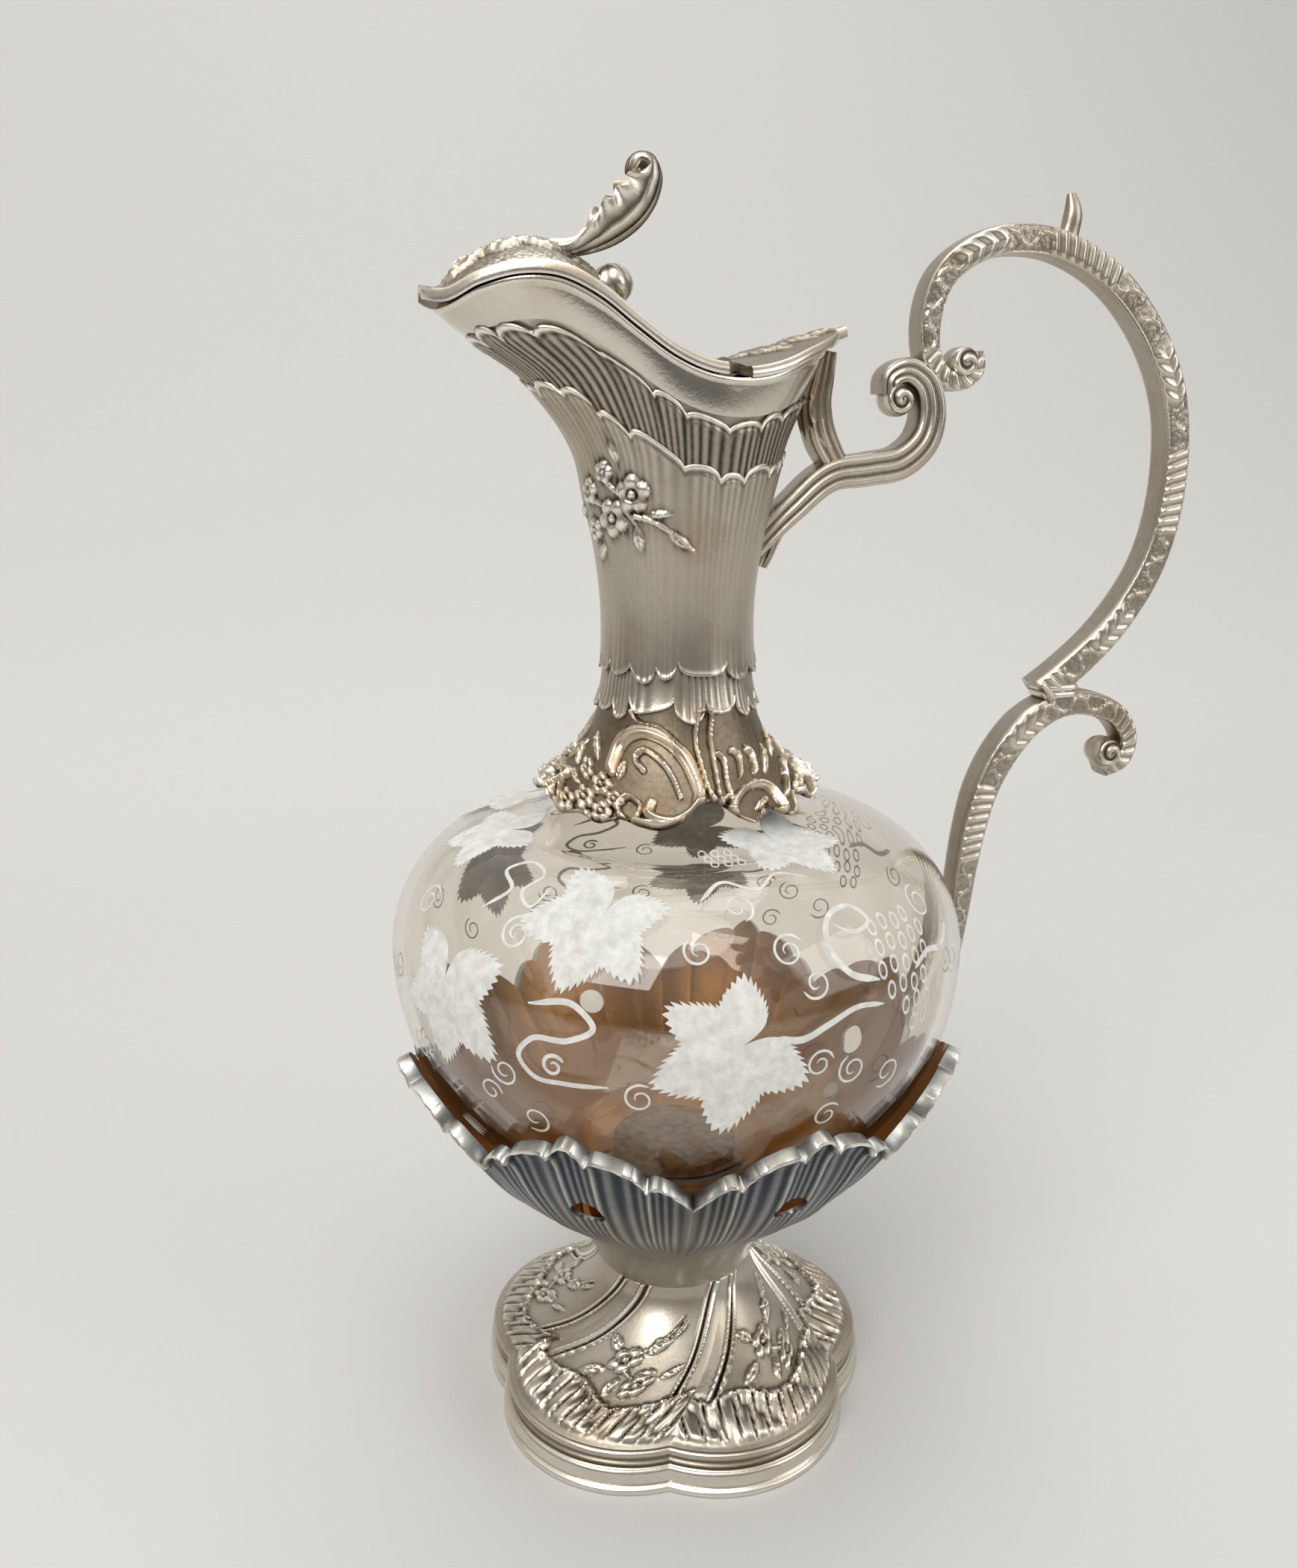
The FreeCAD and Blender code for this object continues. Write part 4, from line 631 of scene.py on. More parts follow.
def engraved_side(turn, flip):
    """Vine of one side of the bottle, turned round the axis; flip mirrors it for the far side."""
    leaves = []
    lines = []
    grapes = []
    for theta, level, size, way, lean in VINE_LEAVES:
        leaves.append(vine_leaf(turn + flip * theta, level, size, way if flip > 0 else 180 - way, lean))

    def draw(theta, level, points, start, end):
        """Adds one engraved line about a place on this side."""
        points = [(flip * x, y) for x, y in points]
        lines.append(ribbon(turn + flip * theta, level, points, start, end))
    for theta, level, start, end, points in VINE_LINES:
        draw(theta, level, points, start, end)
    for theta, level, size, turns, begin in CURLS:
        draw(theta, level, curl(size, turns, begin), 0.55, 0.4)
    for row, count in enumerate(BUNCH_ROWS):
        for place in range(count):
            x = (place - (count - 1) / 2) * 3.7 + 1.2 * np.sin(row * 1.7) + row * 0.4
            y = 9.5 - row * 4.4 + 0.5 * np.sin(place * 2.1)
            grapes.append(grape(turn + flip * BUNCH[0], BUNCH[1], flip * x, y, 1.95, 6))
    for place in range(9):
        x = (place % 3 - 1) * 2.8 + 0.8 * (place // 3)
        y = 2.6 - (place // 3) * 2.4
        grapes.append(grape(turn + flip * SMALL_BUNCH[0], SMALL_BUNCH[1], flip * x, y, 1.5, 10))
    return leaves, lines, grapes


def build_engraving(frosted):
    """Vine on the near side of the glass, and its mirror image on the far side."""
    groups = ([], [], [])
    for turn, flip in ((0, 1), (180, -1)):
        for group, grids in zip(groups, engraved_side(turn, flip)):
            group.extend(grids)
    for name, group in zip(("engraved_leaves", "engraved_tendrils", "engraved_grapes"), groups):
        add_piece(name, group, [frosted], sharp=60)


# Neck mount. Collar: place along the meridian, height and radius. Mouth: shares of the neck's rise and of its
# flare to spout, handle and sides. Saddle: shares of the mouth's reach and of the saddle line's rise.
COLLAR_LINE = [(134.9, 149.3, 49.0), (138.1, 150.4, 46.0), (140.7, 151.1, 43.5), (143.2, 151.6, 41.0),
               (145.8, 152.0, 38.5), (150.2, 154.9, 35.3), (156.5, 159.1, 30.7), (164.2, 164.2, 24.9),
               (169.5, 169.5, 20.6), (175.5, 175.5, 18.4), (182.7, 182.7, 17.1)]
MOUTH_LINE = [(0.0, 0.0, 0.0, 0.0), (0.165, 0.01, 0.02, 0.05), (0.305, 0.045, 0.09, 0.32),
              (0.445, 0.105, 0.20, 0.57), (0.585, 0.165, 0.32, 0.77), (0.695, 0.29, 0.475, 0.89),
              (0.805, 0.48, 0.70, 0.97), (0.905, 0.77, 0.90, 1.0), (1.0, 1.0, 1.05, 1.01),
              (1.085, 1.17, 1.19, 1.03)]
NECK_LEVEL = 190.0
NECK_RISE = 72.0
NECK_RADIUS = 16.9
FLARE = (36.6, 18.1, 4.4)
NECK = np.array([(place, height, size, size, size) for place, height, size in COLLAR_LINE]
                + [(NECK_LEVEL + NECK_RISE * up, NECK_LEVEL + NECK_RISE * up)
                   + tuple(NECK_RADIUS + full * share for full, share in zip(FLARE, shares))
                   for up, *shares in MOUTH_LINE])
SADDLE = np.array([(-1.16, 0.97), (-1.0, 0.80), (-0.92, 0.74), (-0.80, 0.90), (-0.655, 1.0), (-0.53, 0.97),
                   (-0.40, 0.785), (-0.27, 0.49), (-0.13, 0.20), (0.0, 0.04), (0.16, 0.0), (0.33, 0.015),
                   (0.50, 0.09), (0.70, 0.24), (1.0, 0.46), (1.25, 0.62)])
SPOUT_REACH = 55.0
REAR_REACH = 35.0
SADDLE_LOW = 246.4
SADDLE_RISE = 18.2


def reaches(shares):
    """Shares of the way to the spout, below 0, or to the rear of the mouth, above 0, as millimetres."""
    return shares * np.where(shares < 0, SPOUT_REACH, REAR_REACH)


def saddle(x):
    """Height of the mouth's saddle line over the reach x."""
    return through(x, reaches(SADDLE[:, 0]), SADDLE_LOW + SADDLE_RISE * SADDLE[:, 1])


def neck_place(angle, place):
    """Point of the neck's outside: half an ellipse to the spout and half to the handle at each height."""
    height, front, rear, side = np.moveaxis(through(place, NECK[:, 0], NECK[:, 1:]), -1, 0)
    reach = np.where(np.cos(angle) > 0, rear, front)
    return np.stack([reach * np.cos(angle), side * np.sin(angle), height], -1)


def mouth_line(angle, drop):
    """Where each meridian of the neck meets the saddle line, moved down by drop."""
    place = np.linspace(200, 268, 700)[:, None]
    over = place + drop - saddle(neck_place(angle[None] + 0 * place, place + 0 * angle[None])[..., 0])
    first = np.argmax(over >= 0, axis=0)
    column = np.arange(len(angle))
    before = over[first - 1, column]
    after = over[first, column]
    return place[first - 1, 0] + (place[1, 0] - place[0, 0]) * before / (before - after)


def arches(angle, count, drift):
    """Uneven row of arches round the neck: place within each arch from -1 to 1, and its running number."""
    run = count * angle / (2 * pi) + 0.28 * np.sin(3 * angle + drift) + 0.16 * np.sin(7 * angle + 2 * drift)
    return 2 * (run % 1) - 1, run


def neck_sheet(low, high, rows, columns):
    """Strip of the neck between two edges: angle, place along the meridian, points and radius."""
    angle = np.linspace(0, 2 * pi, columns, endpoint=False)
    t = np.linspace(0, 1, rows)[:, None]
    place = low(angle) + (high(angle) - low(angle)) * t
    around = angle[None] + 0 * place
    base = neck_place(around, place)
    radius = np.hypot(base[..., 0], base[..., 1])
    return around, place, base, radius


# Rows of arches on the neck: how many, and the drift that makes each row uneven in its own way
UPPER = (23, 0.4)
MIDDLE = (21, 1.9)
WAIST = (15, 0.9)
LOWER = (16, 2.6)


def tier_edge(angle, row, level, depth, square, step, pace):
    """Scalloped edge: arches of some depth on a level, each a little higher or lower than its neighbours."""
    arch, run = arches(angle, *row)
    return level + depth * np.sqrt(1 - square * arch ** 2) + step * np.sin(pace * np.floor(run))


def upper_edge(angle):
    """Top of the flutes under the plain band."""
    return tier_edge(angle, UPPER, mouth_line(angle, 9.2) - 0.9, 2.3, 0.97, 0.5, 1.7)


def middle_edge(angle):
    """Top of the flutes that run down to the waist."""
    return tier_edge(angle, MIDDLE, mouth_line(angle, 19.4) - 1.0, 2.6, 0.97, 0.7, 2.3)


def waist_edge(angle):
    """Foot of the waist, hanging over the lower tier."""
    return tier_edge(angle, WAIST, 188.2, -3.6, 0.95, 0.9, 1.9)


def lower_edge(angle):
    """Foot of the lower tier, hanging over the collar."""
    return tier_edge(angle, LOWER, 180.0, -3.8, 0.95, 1.0, 2.7)


def tier_flutes(angle, row):
    """Round flutes under a row of arches, and the fine lines in them."""
    arch, run = arches(angle, *row)
    lobes = np.sqrt(1 - 0.92 * arch ** 2)
    fine = np.cos(2 * pi * run * 4 + np.sin(run * 2.1))
    return lobes, fine


def build_band(silver):
    """Plain band along the mouth, bowed a little and rolled over at its top."""
    _, place, base, _ = neck_sheet(lambda a: mouth_line(a, 7.6), lambda a: mouth_line(a, 0.0), 22, 300)
    t = np.linspace(0, 1, 22)[:, None] + 0 * place
    height = 0.35 + 0.25 * dome(t - 0.5, 0.55) + 0.25 * swell(t - 0.93, 0.12)
    # The rolled top is brighter: painted highlight over real rubbing.
    band = sheet_round(base, height, 1.1, 0.80 + 0.15 * swell(t - 0.93, 0.1), 4)
    add_piece("spout_band_polished", [band], [silver], replaces=("spout_band",), sharp=50)


def build_neck(silver):
    """Tiers of upright flutes below the mouth, a plain waist with a flower spray and a hanging tier below it:
    sheets that lap over each other, each with its own scalloped edge."""
    around, place, base, _ = neck_sheet(lambda a: upper_edge(a) - 3.5, lambda a: mouth_line(a, 7.3), 24, 300)
    height = np.zeros_like(place) - 0.15
    # The plain strip darkens within about 2 mm of the flutes' scalloped edge.
    pieces = [sheet_round(base, height, 0.9, 0.72 - 0.25 * swell(place - upper_edge(around[0]), 2.0), 4)]

    around, place, base, _ = neck_sheet(lambda a: middle_edge(a) - 3.0, upper_edge, 68, 440)
    below = upper_edge(around[0]) - place
    lobes, fine = tier_flutes(around, UPPER)
    fade = np.exp(-below / 10)
    rolled = swell(below - 0.55, 0.95)
    height = (0.10 + 0.55 * fade + 0.75 * lobes * fade * ease(below, 0.3, 2.5)
              + 0.10 * fine * ease(below, 0.8, 3) + 0.5 * rolled)
    # Level: painted highlight on the rolled edge and ridges, painted shade in the hollows, over real oxide
    # and rubbing.
    wear = 0.40 + 1.00 * standing(height, 12, True) + 0.45 * rolled + 0.07 * fine
    pieces.append(sheet_round(base, height, 0.7, wear, 4))

    around, place, base, radius = neck_sheet(waist_edge, middle_edge, 124, 440)
    below = middle_edge(around[0]) - place
    above = place - waist_edge(around[0])
    lobes, fine = tier_flutes(around, MIDDLE)
    low_lobes, low_fine = tier_flutes(around, WAIST)
    fade = np.exp(-below / 9)
    low_fade = np.exp(-above / 4.5)
    rolled = swell(below - 0.55, 0.95)
    seam = swell(above - 0.4, 0.7)
    height = (0.15 + 0.55 * fade + 0.65 * lobes * fade * ease(below, 0.3, 2.5) + 0.5 * rolled
              + 0.09 * fine * ease(below, 0.8, 3) * np.exp(-below / 16)
              + 0.45 * low_fade + 0.75 * (low_lobes - 0.5) * low_fade
              + 0.06 * low_fine * np.exp(-above / 8) + 0.2 * seam)
    near = flower_spray(wrapped(around - radians(VIEW)) * radius, place)
    far = flower_spray(wrapped(around - radians(VIEW) - pi) * radius, place)
    height = height + np.maximum(near, far) * 1.15
    # Level: painted highlight on the rolled edge and ridges, painted shade in the hollows, over real oxide
    # and rubbing.
    wear = 0.60 + 1.10 * standing(height, 12, True) + 0.40 * rolled + 0.04 * fine * fade - 0.10 * fade
    pieces.append(sheet_round(base, height, 0.7, wear, 6))
    add_piece("neck_tiers", pieces, [silver], replaces=("neck_mount",), sharp=60)

    around, place, base, _ = neck_sheet(lower_edge, lambda a: waist_edge(a) + 2.5, 44, 440)
    above = place - lower_edge(around[0])
    lobes, fine = tier_flutes(around, LOWER)
    fade = np.exp(-above / 5)
    height = -0.25 + 0.55 * fade + 0.65 * (lobes - 0.4) * fade + 0.08 * fine + 0.25 * swell(above - 0.4, 0.7)
    # Painted shade: the tier is darker within about 2 mm below the waist's hanging edge.
    under = ease(waist_edge(around[0]) - place, -0.5, 2.0)
    wear = (0.30 + 0.30 * under + 0.8 * standing(height, 10, True) + 0.06 * fine
            + 0.15 * swell(above - 0.4, 0.8))
    add_piece("neck_lower_tier", [sheet_round(base, height, 0.6, wear, 4)], [silver], sharp=60)


def flower_spray(u, v):
    """Two open flowers, buds and leaves on a twig, on the spout side of the neck."""
    flowers = ((-9.2, 223.5, 4.1, 20), (-14.6, 218.6, 4.2, 50), (-16.4, 228.0, 2.6, 0),
               (-22.0, 224.0, 3.0, 15), (-21.0, 216.0, 2.6, 40))
    leaves = ((-8.7, 217.4, 6.0, 2.6, -82), (-2.2, 216.0, 6.2, 2.2, -38), (-6.2, 219.3, 5.4, 1.5, 4),
              (-17.6, 213.5, 5.0, 2.3, 240), (-12.0, 229.6, 5.0, 2.2, 110), (-25.0, 220.0, 5.0, 2.2, 190))
    spray = bouquet(u, v, flowers, leaves, 0.7)
    for points in (((-9, 219), (-6, 218.4), (-2, 216.2), (3, 212)), ((-13, 221), (-10, 219), (-8.5, 217)),
                   ((-20, 222), (-17, 221), (-13, 221)), ((-16, 226), (-13, 224), (-10, 223))):
        spray = np.maximum(spray, 0.5 * stalk(u, v, points, 0.6, 0.35))
    return spray


# Ragged lower edge of the collar: view angles in degrees, and how far the edge hangs there
RAGGED_TURN = (-180, -166, -152, -138, -124, -110, -96, -84, -72, -60, -50, -40, -30, -22, -14, -6, 1, 8,
               16, 24, 30, 36, 44, 52, 58, 66, 78, 92, 106, 120, 134, 150, 166, 180)
RAGGED_DROP = (-1.5, 1.5, -2.0, 2.0, -1.0, 2.0, -1.5, 1.0, -1.0, 0.5, 2.2, 1.2, 2.6, 1.0, 2.4, 3.0, 1.2,
               -2.8, -3.4, 0.8, 2.4, -1.0, 2.0, 2.4, -1.5, 1.0, -1.5, 1.5, -1.0, 2.0, -2.0, 1.5, 0.0, -1.5)
# Scrolls and ribs of the collar: half widths at both ends, and points across and along the neck
SCROLLS = (
    (1.9, 1.4, ((-15.5, 166.0), (-13.5, 170.5), (-8.0, 173.6), (-2.0, 171.8), (2.8, 166.5), (4.4, 161.0),
                (2.4, 156.2), (-3.0, 154.4), (-6.6, 156.4), (-5.8, 159.0))),
    (0.9, 0.8, ((-7.6, 166.2), (-9.4, 168.0), (-7.8, 169.8), (-4.6, 168.6), (-1.2, 165.0), (0.4, 160.6))),
    (1.2, 0.8, ((-9.0, 153.8), (-4.0, 153.2), (2.0, 154.6), (7.0, 156.6), (10.6, 160.0))),
    (1.4, 1.0, ((11.6, 155.6), (12.6, 159.2), (16.0, 162.0), (20.4, 161.6), (24.0, 158.0), (25.6, 154.4),
                (22.6, 153.6))),
    (0.8, 0.6, ((4.4, 178.0), (3.8, 172.0), (5.6, 165.0), (7.6, 159.0))),
    (0.8, 0.6, ((4.4, 178.0), (6.6, 178.2), (7.0, 172.0), (8.2, 165.0), (9.0, 159.0))),
    (0.8, 0.6, ((8.6, 169.0), (9.6, 168.2), (10.6, 163.5), (11.6, 159.5))),
    (0.8, 0.6, ((12.2, 169.4), (13.6, 168.4), (14.2, 164.5))),
    (0.8, 0.6, ((16.4, 169.0), (17.6, 168.0), (18.4, 164.6))),
    (0.9, 0.8, ((-11.8, 153.8), (-13.2, 157.4), (-10.6, 160.0), (-8.2, 158.0), (-9.0, 154.4))),
    (1.2, 0.9, ((27.5, 158.0), (31.0, 164.0), (36.0, 163.6), (40.0, 158.5), (39.0, 154.5))),
    (1.2, 0.8, ((43.0, 155.0), (46.0, 161.0), (51.0, 161.5), (55.0, 155.5))),
    (1.2, 0.8, ((-30.0, 156.0), (-33.0, 162.0), (-38.0, 162.5), (-42.0, 156.0))),
    (0.6, 0.5, ((-10.6, 177.6), (-9.4, 176.0), (-4.0, 174.6), (1.0, 170.4))))


def collar_ornament(u, v):
    """One side of the collar: its C-scrolls, ribs, flowers and leaves, and the eyes of two scrolls, to be
    darkened with painted shade.
    """
    flowers = ((-17.6, 162.0, 3.1, 15), (-22.0, 158.0, 3.3, 40), (-14.0, 158.6, 2.6, 0),
               (-27.4, 156.2, 3.0, 30), (-17.0, 155.2, 2.8, 10), (-22.6, 164.6, 2.4, 55),
               (34.0, 158.0, 3.0, 20), (-36.0, 157.0, 3.2, 0), (49.0, 156.5, 2.8, 35))
    leaves = ((-14.0, 163.5, 5.0, 2.2, 60), (-24.5, 161.0, 5.5, 2.6, 150), (-20.0, 166.5, 6.0, 2.4, 110),
              (-20.5, 155.6, 4.0, 2.2, -80), (17.0, 156.0, 5.0, 2.4, 30), (22.0, 163.5, 6.0, 2.4, 80),
              (27.0, 166.0, 6.0, 2.4, 70), (-29.0, 164.0, 6.0, 2.4, 70), (42.0, 163.0, 6.0, 2.4, 80))
    orna = bouquet(u, v, flowers, leaves, 0.7)
    for first, last, points in SCROLLS:
        gap, share = line_gap(u, v, points)
        half = first + (last - first) * share
        orna = np.maximum(orna, dome(gap, half) * (0.75 + 0.25 * swell(gap, 0.4 * half)))
    left_eye = np.hypot((u + 3.6) / 4.0, (v - 161.8) / 4.6)
    right_eye = np.hypot((u - 18.6) / 4.4, (v - 156.6) / 3.8)
    return orna, ease(1 - np.minimum(left_eye, right_eye), 0.0, 0.12)


def build_collar(silver):
    """Rocaille collar: scrolls, ribs and clusters of flowers over dark flutes, with a ragged edge."""
    def low(angle):
        """Ragged lower edge of the collar."""
        view = np.degrees(wrapped(angle - radians(VIEW)))
        return 155.2 - through(view, RAGGED_TURN, RAGGED_DROP)
    around, place, base, radius = neck_sheet(low, lambda a: lower_edge(a) + 2.5, 140, 560)
    above = place - low(around[0])
    lobes, fine = tier_flutes(around, (26, 0.7))
    height = -0.55 + 0.45 * (lobes - 0.5) * ease(place, 152, 162) + 0.05 * fine
    dark = ease(place, 160, 172) * 0.22
    near, near_eye = collar_ornament(wrapped(around - radians(VIEW)) * radius, place)
    far, far_eye = collar_ornament(wrapped(radians(-VIEW) - around) * radius, place)
    orna = np.maximum(near, far)
    hole = np.maximum(near_eye, far_eye)
    rolled = swell(above - 0.6, 1.2)
    height = np.where(orna > 0, np.maximum(height, -0.2) + 1.75 * orna, height) - 0.35 * hole * (orna < 0.05)
    height = height + 0.7 * rolled
    # Painted shade: the eyes of two scrolls are darkened as deep holes, though they sink only 0.35 mm.
    wear = 0.52 + 0.55 * standing(height, 14, True) - dark * (orna < 0.1) - 0.22 * hole * (orna < 0.05)
    wear = wear + 0.12 * rolled + 0.08 * orna
    add_piece("neck_collar_rocaille", [sheet_round(base, height, 0.25, wear, 6)], [silver], sharp=60)


# Lid and rear plate: half of their width, and shares of the mouth's reach and of the arch's height
LID_HALF = 21.9
LID_LINE = [(-0.985, 0.28), (-0.90, 0.38), (-0.76, 0.70), (-0.60, 0.98), (-0.44, 1.0), (-0.29, 0.86),
            (-0.14, 0.62), (0.0, 0.46), (0.14, 0.42)]
PLATE_LINE = [(0.16, 0.72), (0.40, 1.0), (0.65, 0.86), (0.90, 0.5), (1.08, 0.42)]


def vault(x, across, line, crown, lift, thick):
    """Arched sections across the mouth along the saddle: the top, and the underside at a wall's distance."""
    shares = np.array(line)
    reach = np.where(x < 0, SPOUT_REACH, REAR_REACH + 0.6)
    half = np.maximum(LID_HALF * np.sqrt(np.clip(1 - (x / reach) ** 2, 0, 1)), 3.0)
    peak = through(x, reaches(shares[:, 0]), shares[:, 1]) * crown
    low = saddle(x) + lift
    arch = 1 - across ** 2
    top = np.stack([x + 0 * across, half * across, low + 1.5 + peak * arch], -1)
    narrow = np.maximum(half - thick, 0.5)
    under = np.stack([x + 0 * across, narrow * across, low + 1.5 - thick + peak * arch * 0.9], -1)
    return top, under, half, low


def vault_piece(name, start, end, line, crown, lift, relief, silver, body, replaces):
    """Closed lid: relief on top, a rounded edge and a smooth underside, with both ends shut."""
    x = np.linspace(start, end, 150)[:, None]
    across = np.sin(np.linspace(1, -1, 97) * pi / 2 * 0.94)[None] / np.sin(pi / 2 * 0.94)
    top, under, half, low = vault(x, across, line, crown, lift, 1.4)
    out = normals(top, False)
    height, wear = relief(x, across, half)
    top = top + out * height[..., None]

    def rim(column, shift, rise):
        """One line of the edge, straight below a border of the top."""
        lines = top[:, column:][:, :1] * (1, 1, 0)
        return lines + np.stack(np.broadcast_arrays(0, shift, low + rise), -1)
    first = [rim(0, 0.0, 0.0), rim(0, 0.25, 0.7)]
    last = [rim(-1, -0.25, 0.7), rim(-1, 0.0, 0.0)]
    under = under[:, ::-6]
    grid = np.concatenate(first + [top] + last + [under], 1)
    edge = np.full((len(x), 2), 0.95)
    # The lid's edge rows take a bright fixed level, and its underside a darker one: painted shade.
    shade = np.concatenate([edge, wear, edge, np.full(under.shape[:2], 0.4)], 1)
    add_piece(name, [capped_bar(grid, shade)], [silver], body=body, replaces=replaces, sharp=55)


def lid_relief(x, across, half):
    """Acanthus along the ridge over a granular ground, with a plain rolled border."""
    y = across * half
    border = swell((1 - np.abs(across)) * half - 0.9, 1.3)
    ground = ease((1 - np.abs(across)) * half, 1.8, 3.0)
    grain = np.sin(3.1 * x + 1.3 * np.sin(2.3 * y)) * np.sin(3.4 * y + 1.1 * np.sin(1.9 * x))
    run = (x + 50) / 8.5
    lobe = np.abs(np.sin(pi * run))
    wide = (2.2 + 3.6 * ease(x, -52, -30) * (1 - ease(x, -22, -8))) * (0.55 + 0.45 * lobe)
    spine = dome(y, np.maximum(wide, 0.5)) * ease(x, -52, -46) * (1 - ease(x, -8, -2))
    veins = 1 - 0.45 * swell(y, 0.7) - 0.25 * (0.5 + 0.5 * np.cos(2 * pi * (run * 2 + np.abs(y) / 2.4)))
    tail = leaf(x + 16, np.abs(y) - 4.5, 13, 4.2, 18) * 0.7
    height = 0.75 * border + 0.18 * grain * ground + 2.3 * spine * veins + 1.2 * tail
    height = height * ease(x, -54, -51.5)
    # Level: painted highlight on the ridges and border, painted shade in the hollows, over real oxide and
    # rubbing.
    wear = 0.55 + 0.45 * standing(height, 8, False) + 0.36 * border + 0.14 * grain * ground
    return height, wear


def plate_relief(x, across, half):
    """Leaf spray that fills the rear plate, with a plain border."""
    y = across * half
    border = swell((1 - np.abs(across)) * half - 0.9, 1.3)
    leaves = ((10, 0.3, 13, 6, 12), (13, 0.3, 13, 6, 38), (17, 0.3, 11, 5, 60), (22, 0.3, 10, 5, 30),
              (27, 0.3, 9, 4, 10))
    spray = bouquet(x + 0 * y, np.abs(y), (), leaves, 1.0)
    height = 0.5 * border + 1.1 * spray
    # Level: painted highlight on the leaves and border, painted shade in the hollows, over real oxide and
    # rubbing.
    wear = 0.42 + 0.6 * standing(height, 8, False) + 0.3 * border
    return height, wear


def build_lid(silver):
    """Hinged lid over the spout, and the fixed plate behind the hinge."""
    vault_piece("lid_domed", -54.2, 3.9, LID_LINE, 5.5, 0.4, lid_relief, silver, "lid", ("lid_cover",))
    vault_piece("rear_plate_leafed", 9.1, 37.6, PLATE_LINE, 3.0, 0.0, plate_relief, silver, "jug",
                ("hinge_plate",))


def build_thumb(silver):
    """Leaf that the thumb presses: a ribbed sheet that widens, stands up and curls over, and its bud."""
    along, places, ways = path([(-36.0, 271.6), (-28.0, 271.9), (-20.0, 272.6), (-13.0, 275.2),
                                (-8.4, 278.8), (-5.7, 283.0), (-5.0, 286.8), (-6.6, 289.6), (-9.4, 289.4),
                                (-10.2, 287.0), (-8.8, 285.8)], 170)
    share = along / along[-1]
    wide = through(share, (0, 0.2, 0.42, 0.62, 0.8, 1.0), (1.8, 3.6, 5.0, 5.8, 4.8, 2.4))
    thick = through(share, (0, 0.5, 1.0), (1.3, 1.15, 0.7))
    turn = ring(120)
    across = signed(np.cos(turn), 0.75)
    cup = 6.2 * np.abs(across) ** 1.6 * (ease(share, 0.2, 0.5) * (1 - ease(share, 0.72, 0.92)))[:, None]
    cup = cup * (1 + 0.22 * np.abs(np.sin(8 * pi * share))[:, None] * np.abs(across) ** 3)
    lobes = 1 - 0.16 * np.abs(np.sin(8 * pi * share))[:, None] * np.abs(across) ** 3
    ribs = 0.42 * np.cos(across * 5.5 * pi) * np.abs(np.sin(turn)) * ease(share, 0.02, 0.2)[:, None]
    rise = thick[:, None] * np.sin(turn) + cup + ribs * np.sign(np.sin(turn))
    grid = swept(places, ways, rise, -across * lobes * wide[:, None])
    # Level: brighter ribs and edges, painted highlight over real rubbing.
    wear = 0.55 + 0.9 * ribs * np.sign(np.sin(turn)) + 0.25 * np.abs(across) ** 6 + 0 * rise
    add_piece("thumb_leaf", [capped_bar(grid, wear)], [silver], body="lid", replaces=("thumb_piece",),
              sharp=60)
    polar = np.linspace(-pi / 2, pi / 2, 60)[:, None]
    ridge = np.abs(np.sin(3.5 * turn + 1.6 * polar))
    size = 4.1 + 0.35 * ridge * np.cos(polar) ** 2
    way = about_axis(np.cos(polar), turn, np.sin(polar))
    grid = way * size[..., None] + (-14.5, 0, saddle(-14.5) + 10.4)
    ball = (grid, quads(grid, wrap_columns=True), 0.35 + 0.45 * ridge, 0)
    add_piece("thumb_bud_ribbed", [ball], [silver], body="lid", replaces=("thumb_bud",), sharp=60)


# Handle: its usual width and depth, and the half of them that the bowed sides reach
BAR_WIDTH = 7.2
BAR_DEPTH = 5.8
BOWED_HALF = 0.55


def section(width, depth, columns):
    """Even points round a rectangle with bowed sides: across the handle and out from its line."""
    turn = np.linspace(0, 2 * pi, 4000)
    shape = np.stack([signed(np.cos(turn), 0.42) * width, signed(np.sin(turn), 0.42) * depth], -1)
    run = np.r_[0, np.cumsum(np.linalg.norm(np.diff(shape, axis=0), axis=1))]
    at = np.linspace(0, run[-1], columns, endpoint=False)
    even = np.stack([np.interp(at, run, shape[:, axis]) for axis in (0, 1)], -1)
    return even[:, 0] / width, even[:, 1] / depth


def handle_bar(points, widths, depths, rows, columns, ornament):
    """Bar along a line in the plane of the spout, with ornament on its two side faces."""
    along, places, ways = path(points, rows)
    share = along / along[-1]
    spots = np.linspace(0, 1, len(widths))
    half_width = through(share, spots, widths)[:, None] * BAR_WIDTH * BOWED_HALF
    half_depth = through(share, spots, depths)[:, None] * BAR_DEPTH * BOWED_HALF
    across, out = section(4.0, 3.2, columns)
    face = ease(np.abs(across), 0.80, 0.97)[None] * (1 - ease(np.abs(out), 0.86, 0.98))[None]
    height, wear = ornament(along[:, None], out[None] * half_depth, half_depth)
    bead = swell(np.abs(out) - 0.9, 0.12)[None] * ease(np.abs(across), 0.7, 0.9)[None]
    y = across[None] * half_width + np.sign(across)[None] * (height * face + 0.18 * bead)
    rise = out[None] * half_depth
    shade = 0.62 - 0.12 * (np.abs(out) > 0.95)[None] + face * wear + 0.22 * bead
    return capped_bar(swept(places, ways, rise, y), shade)


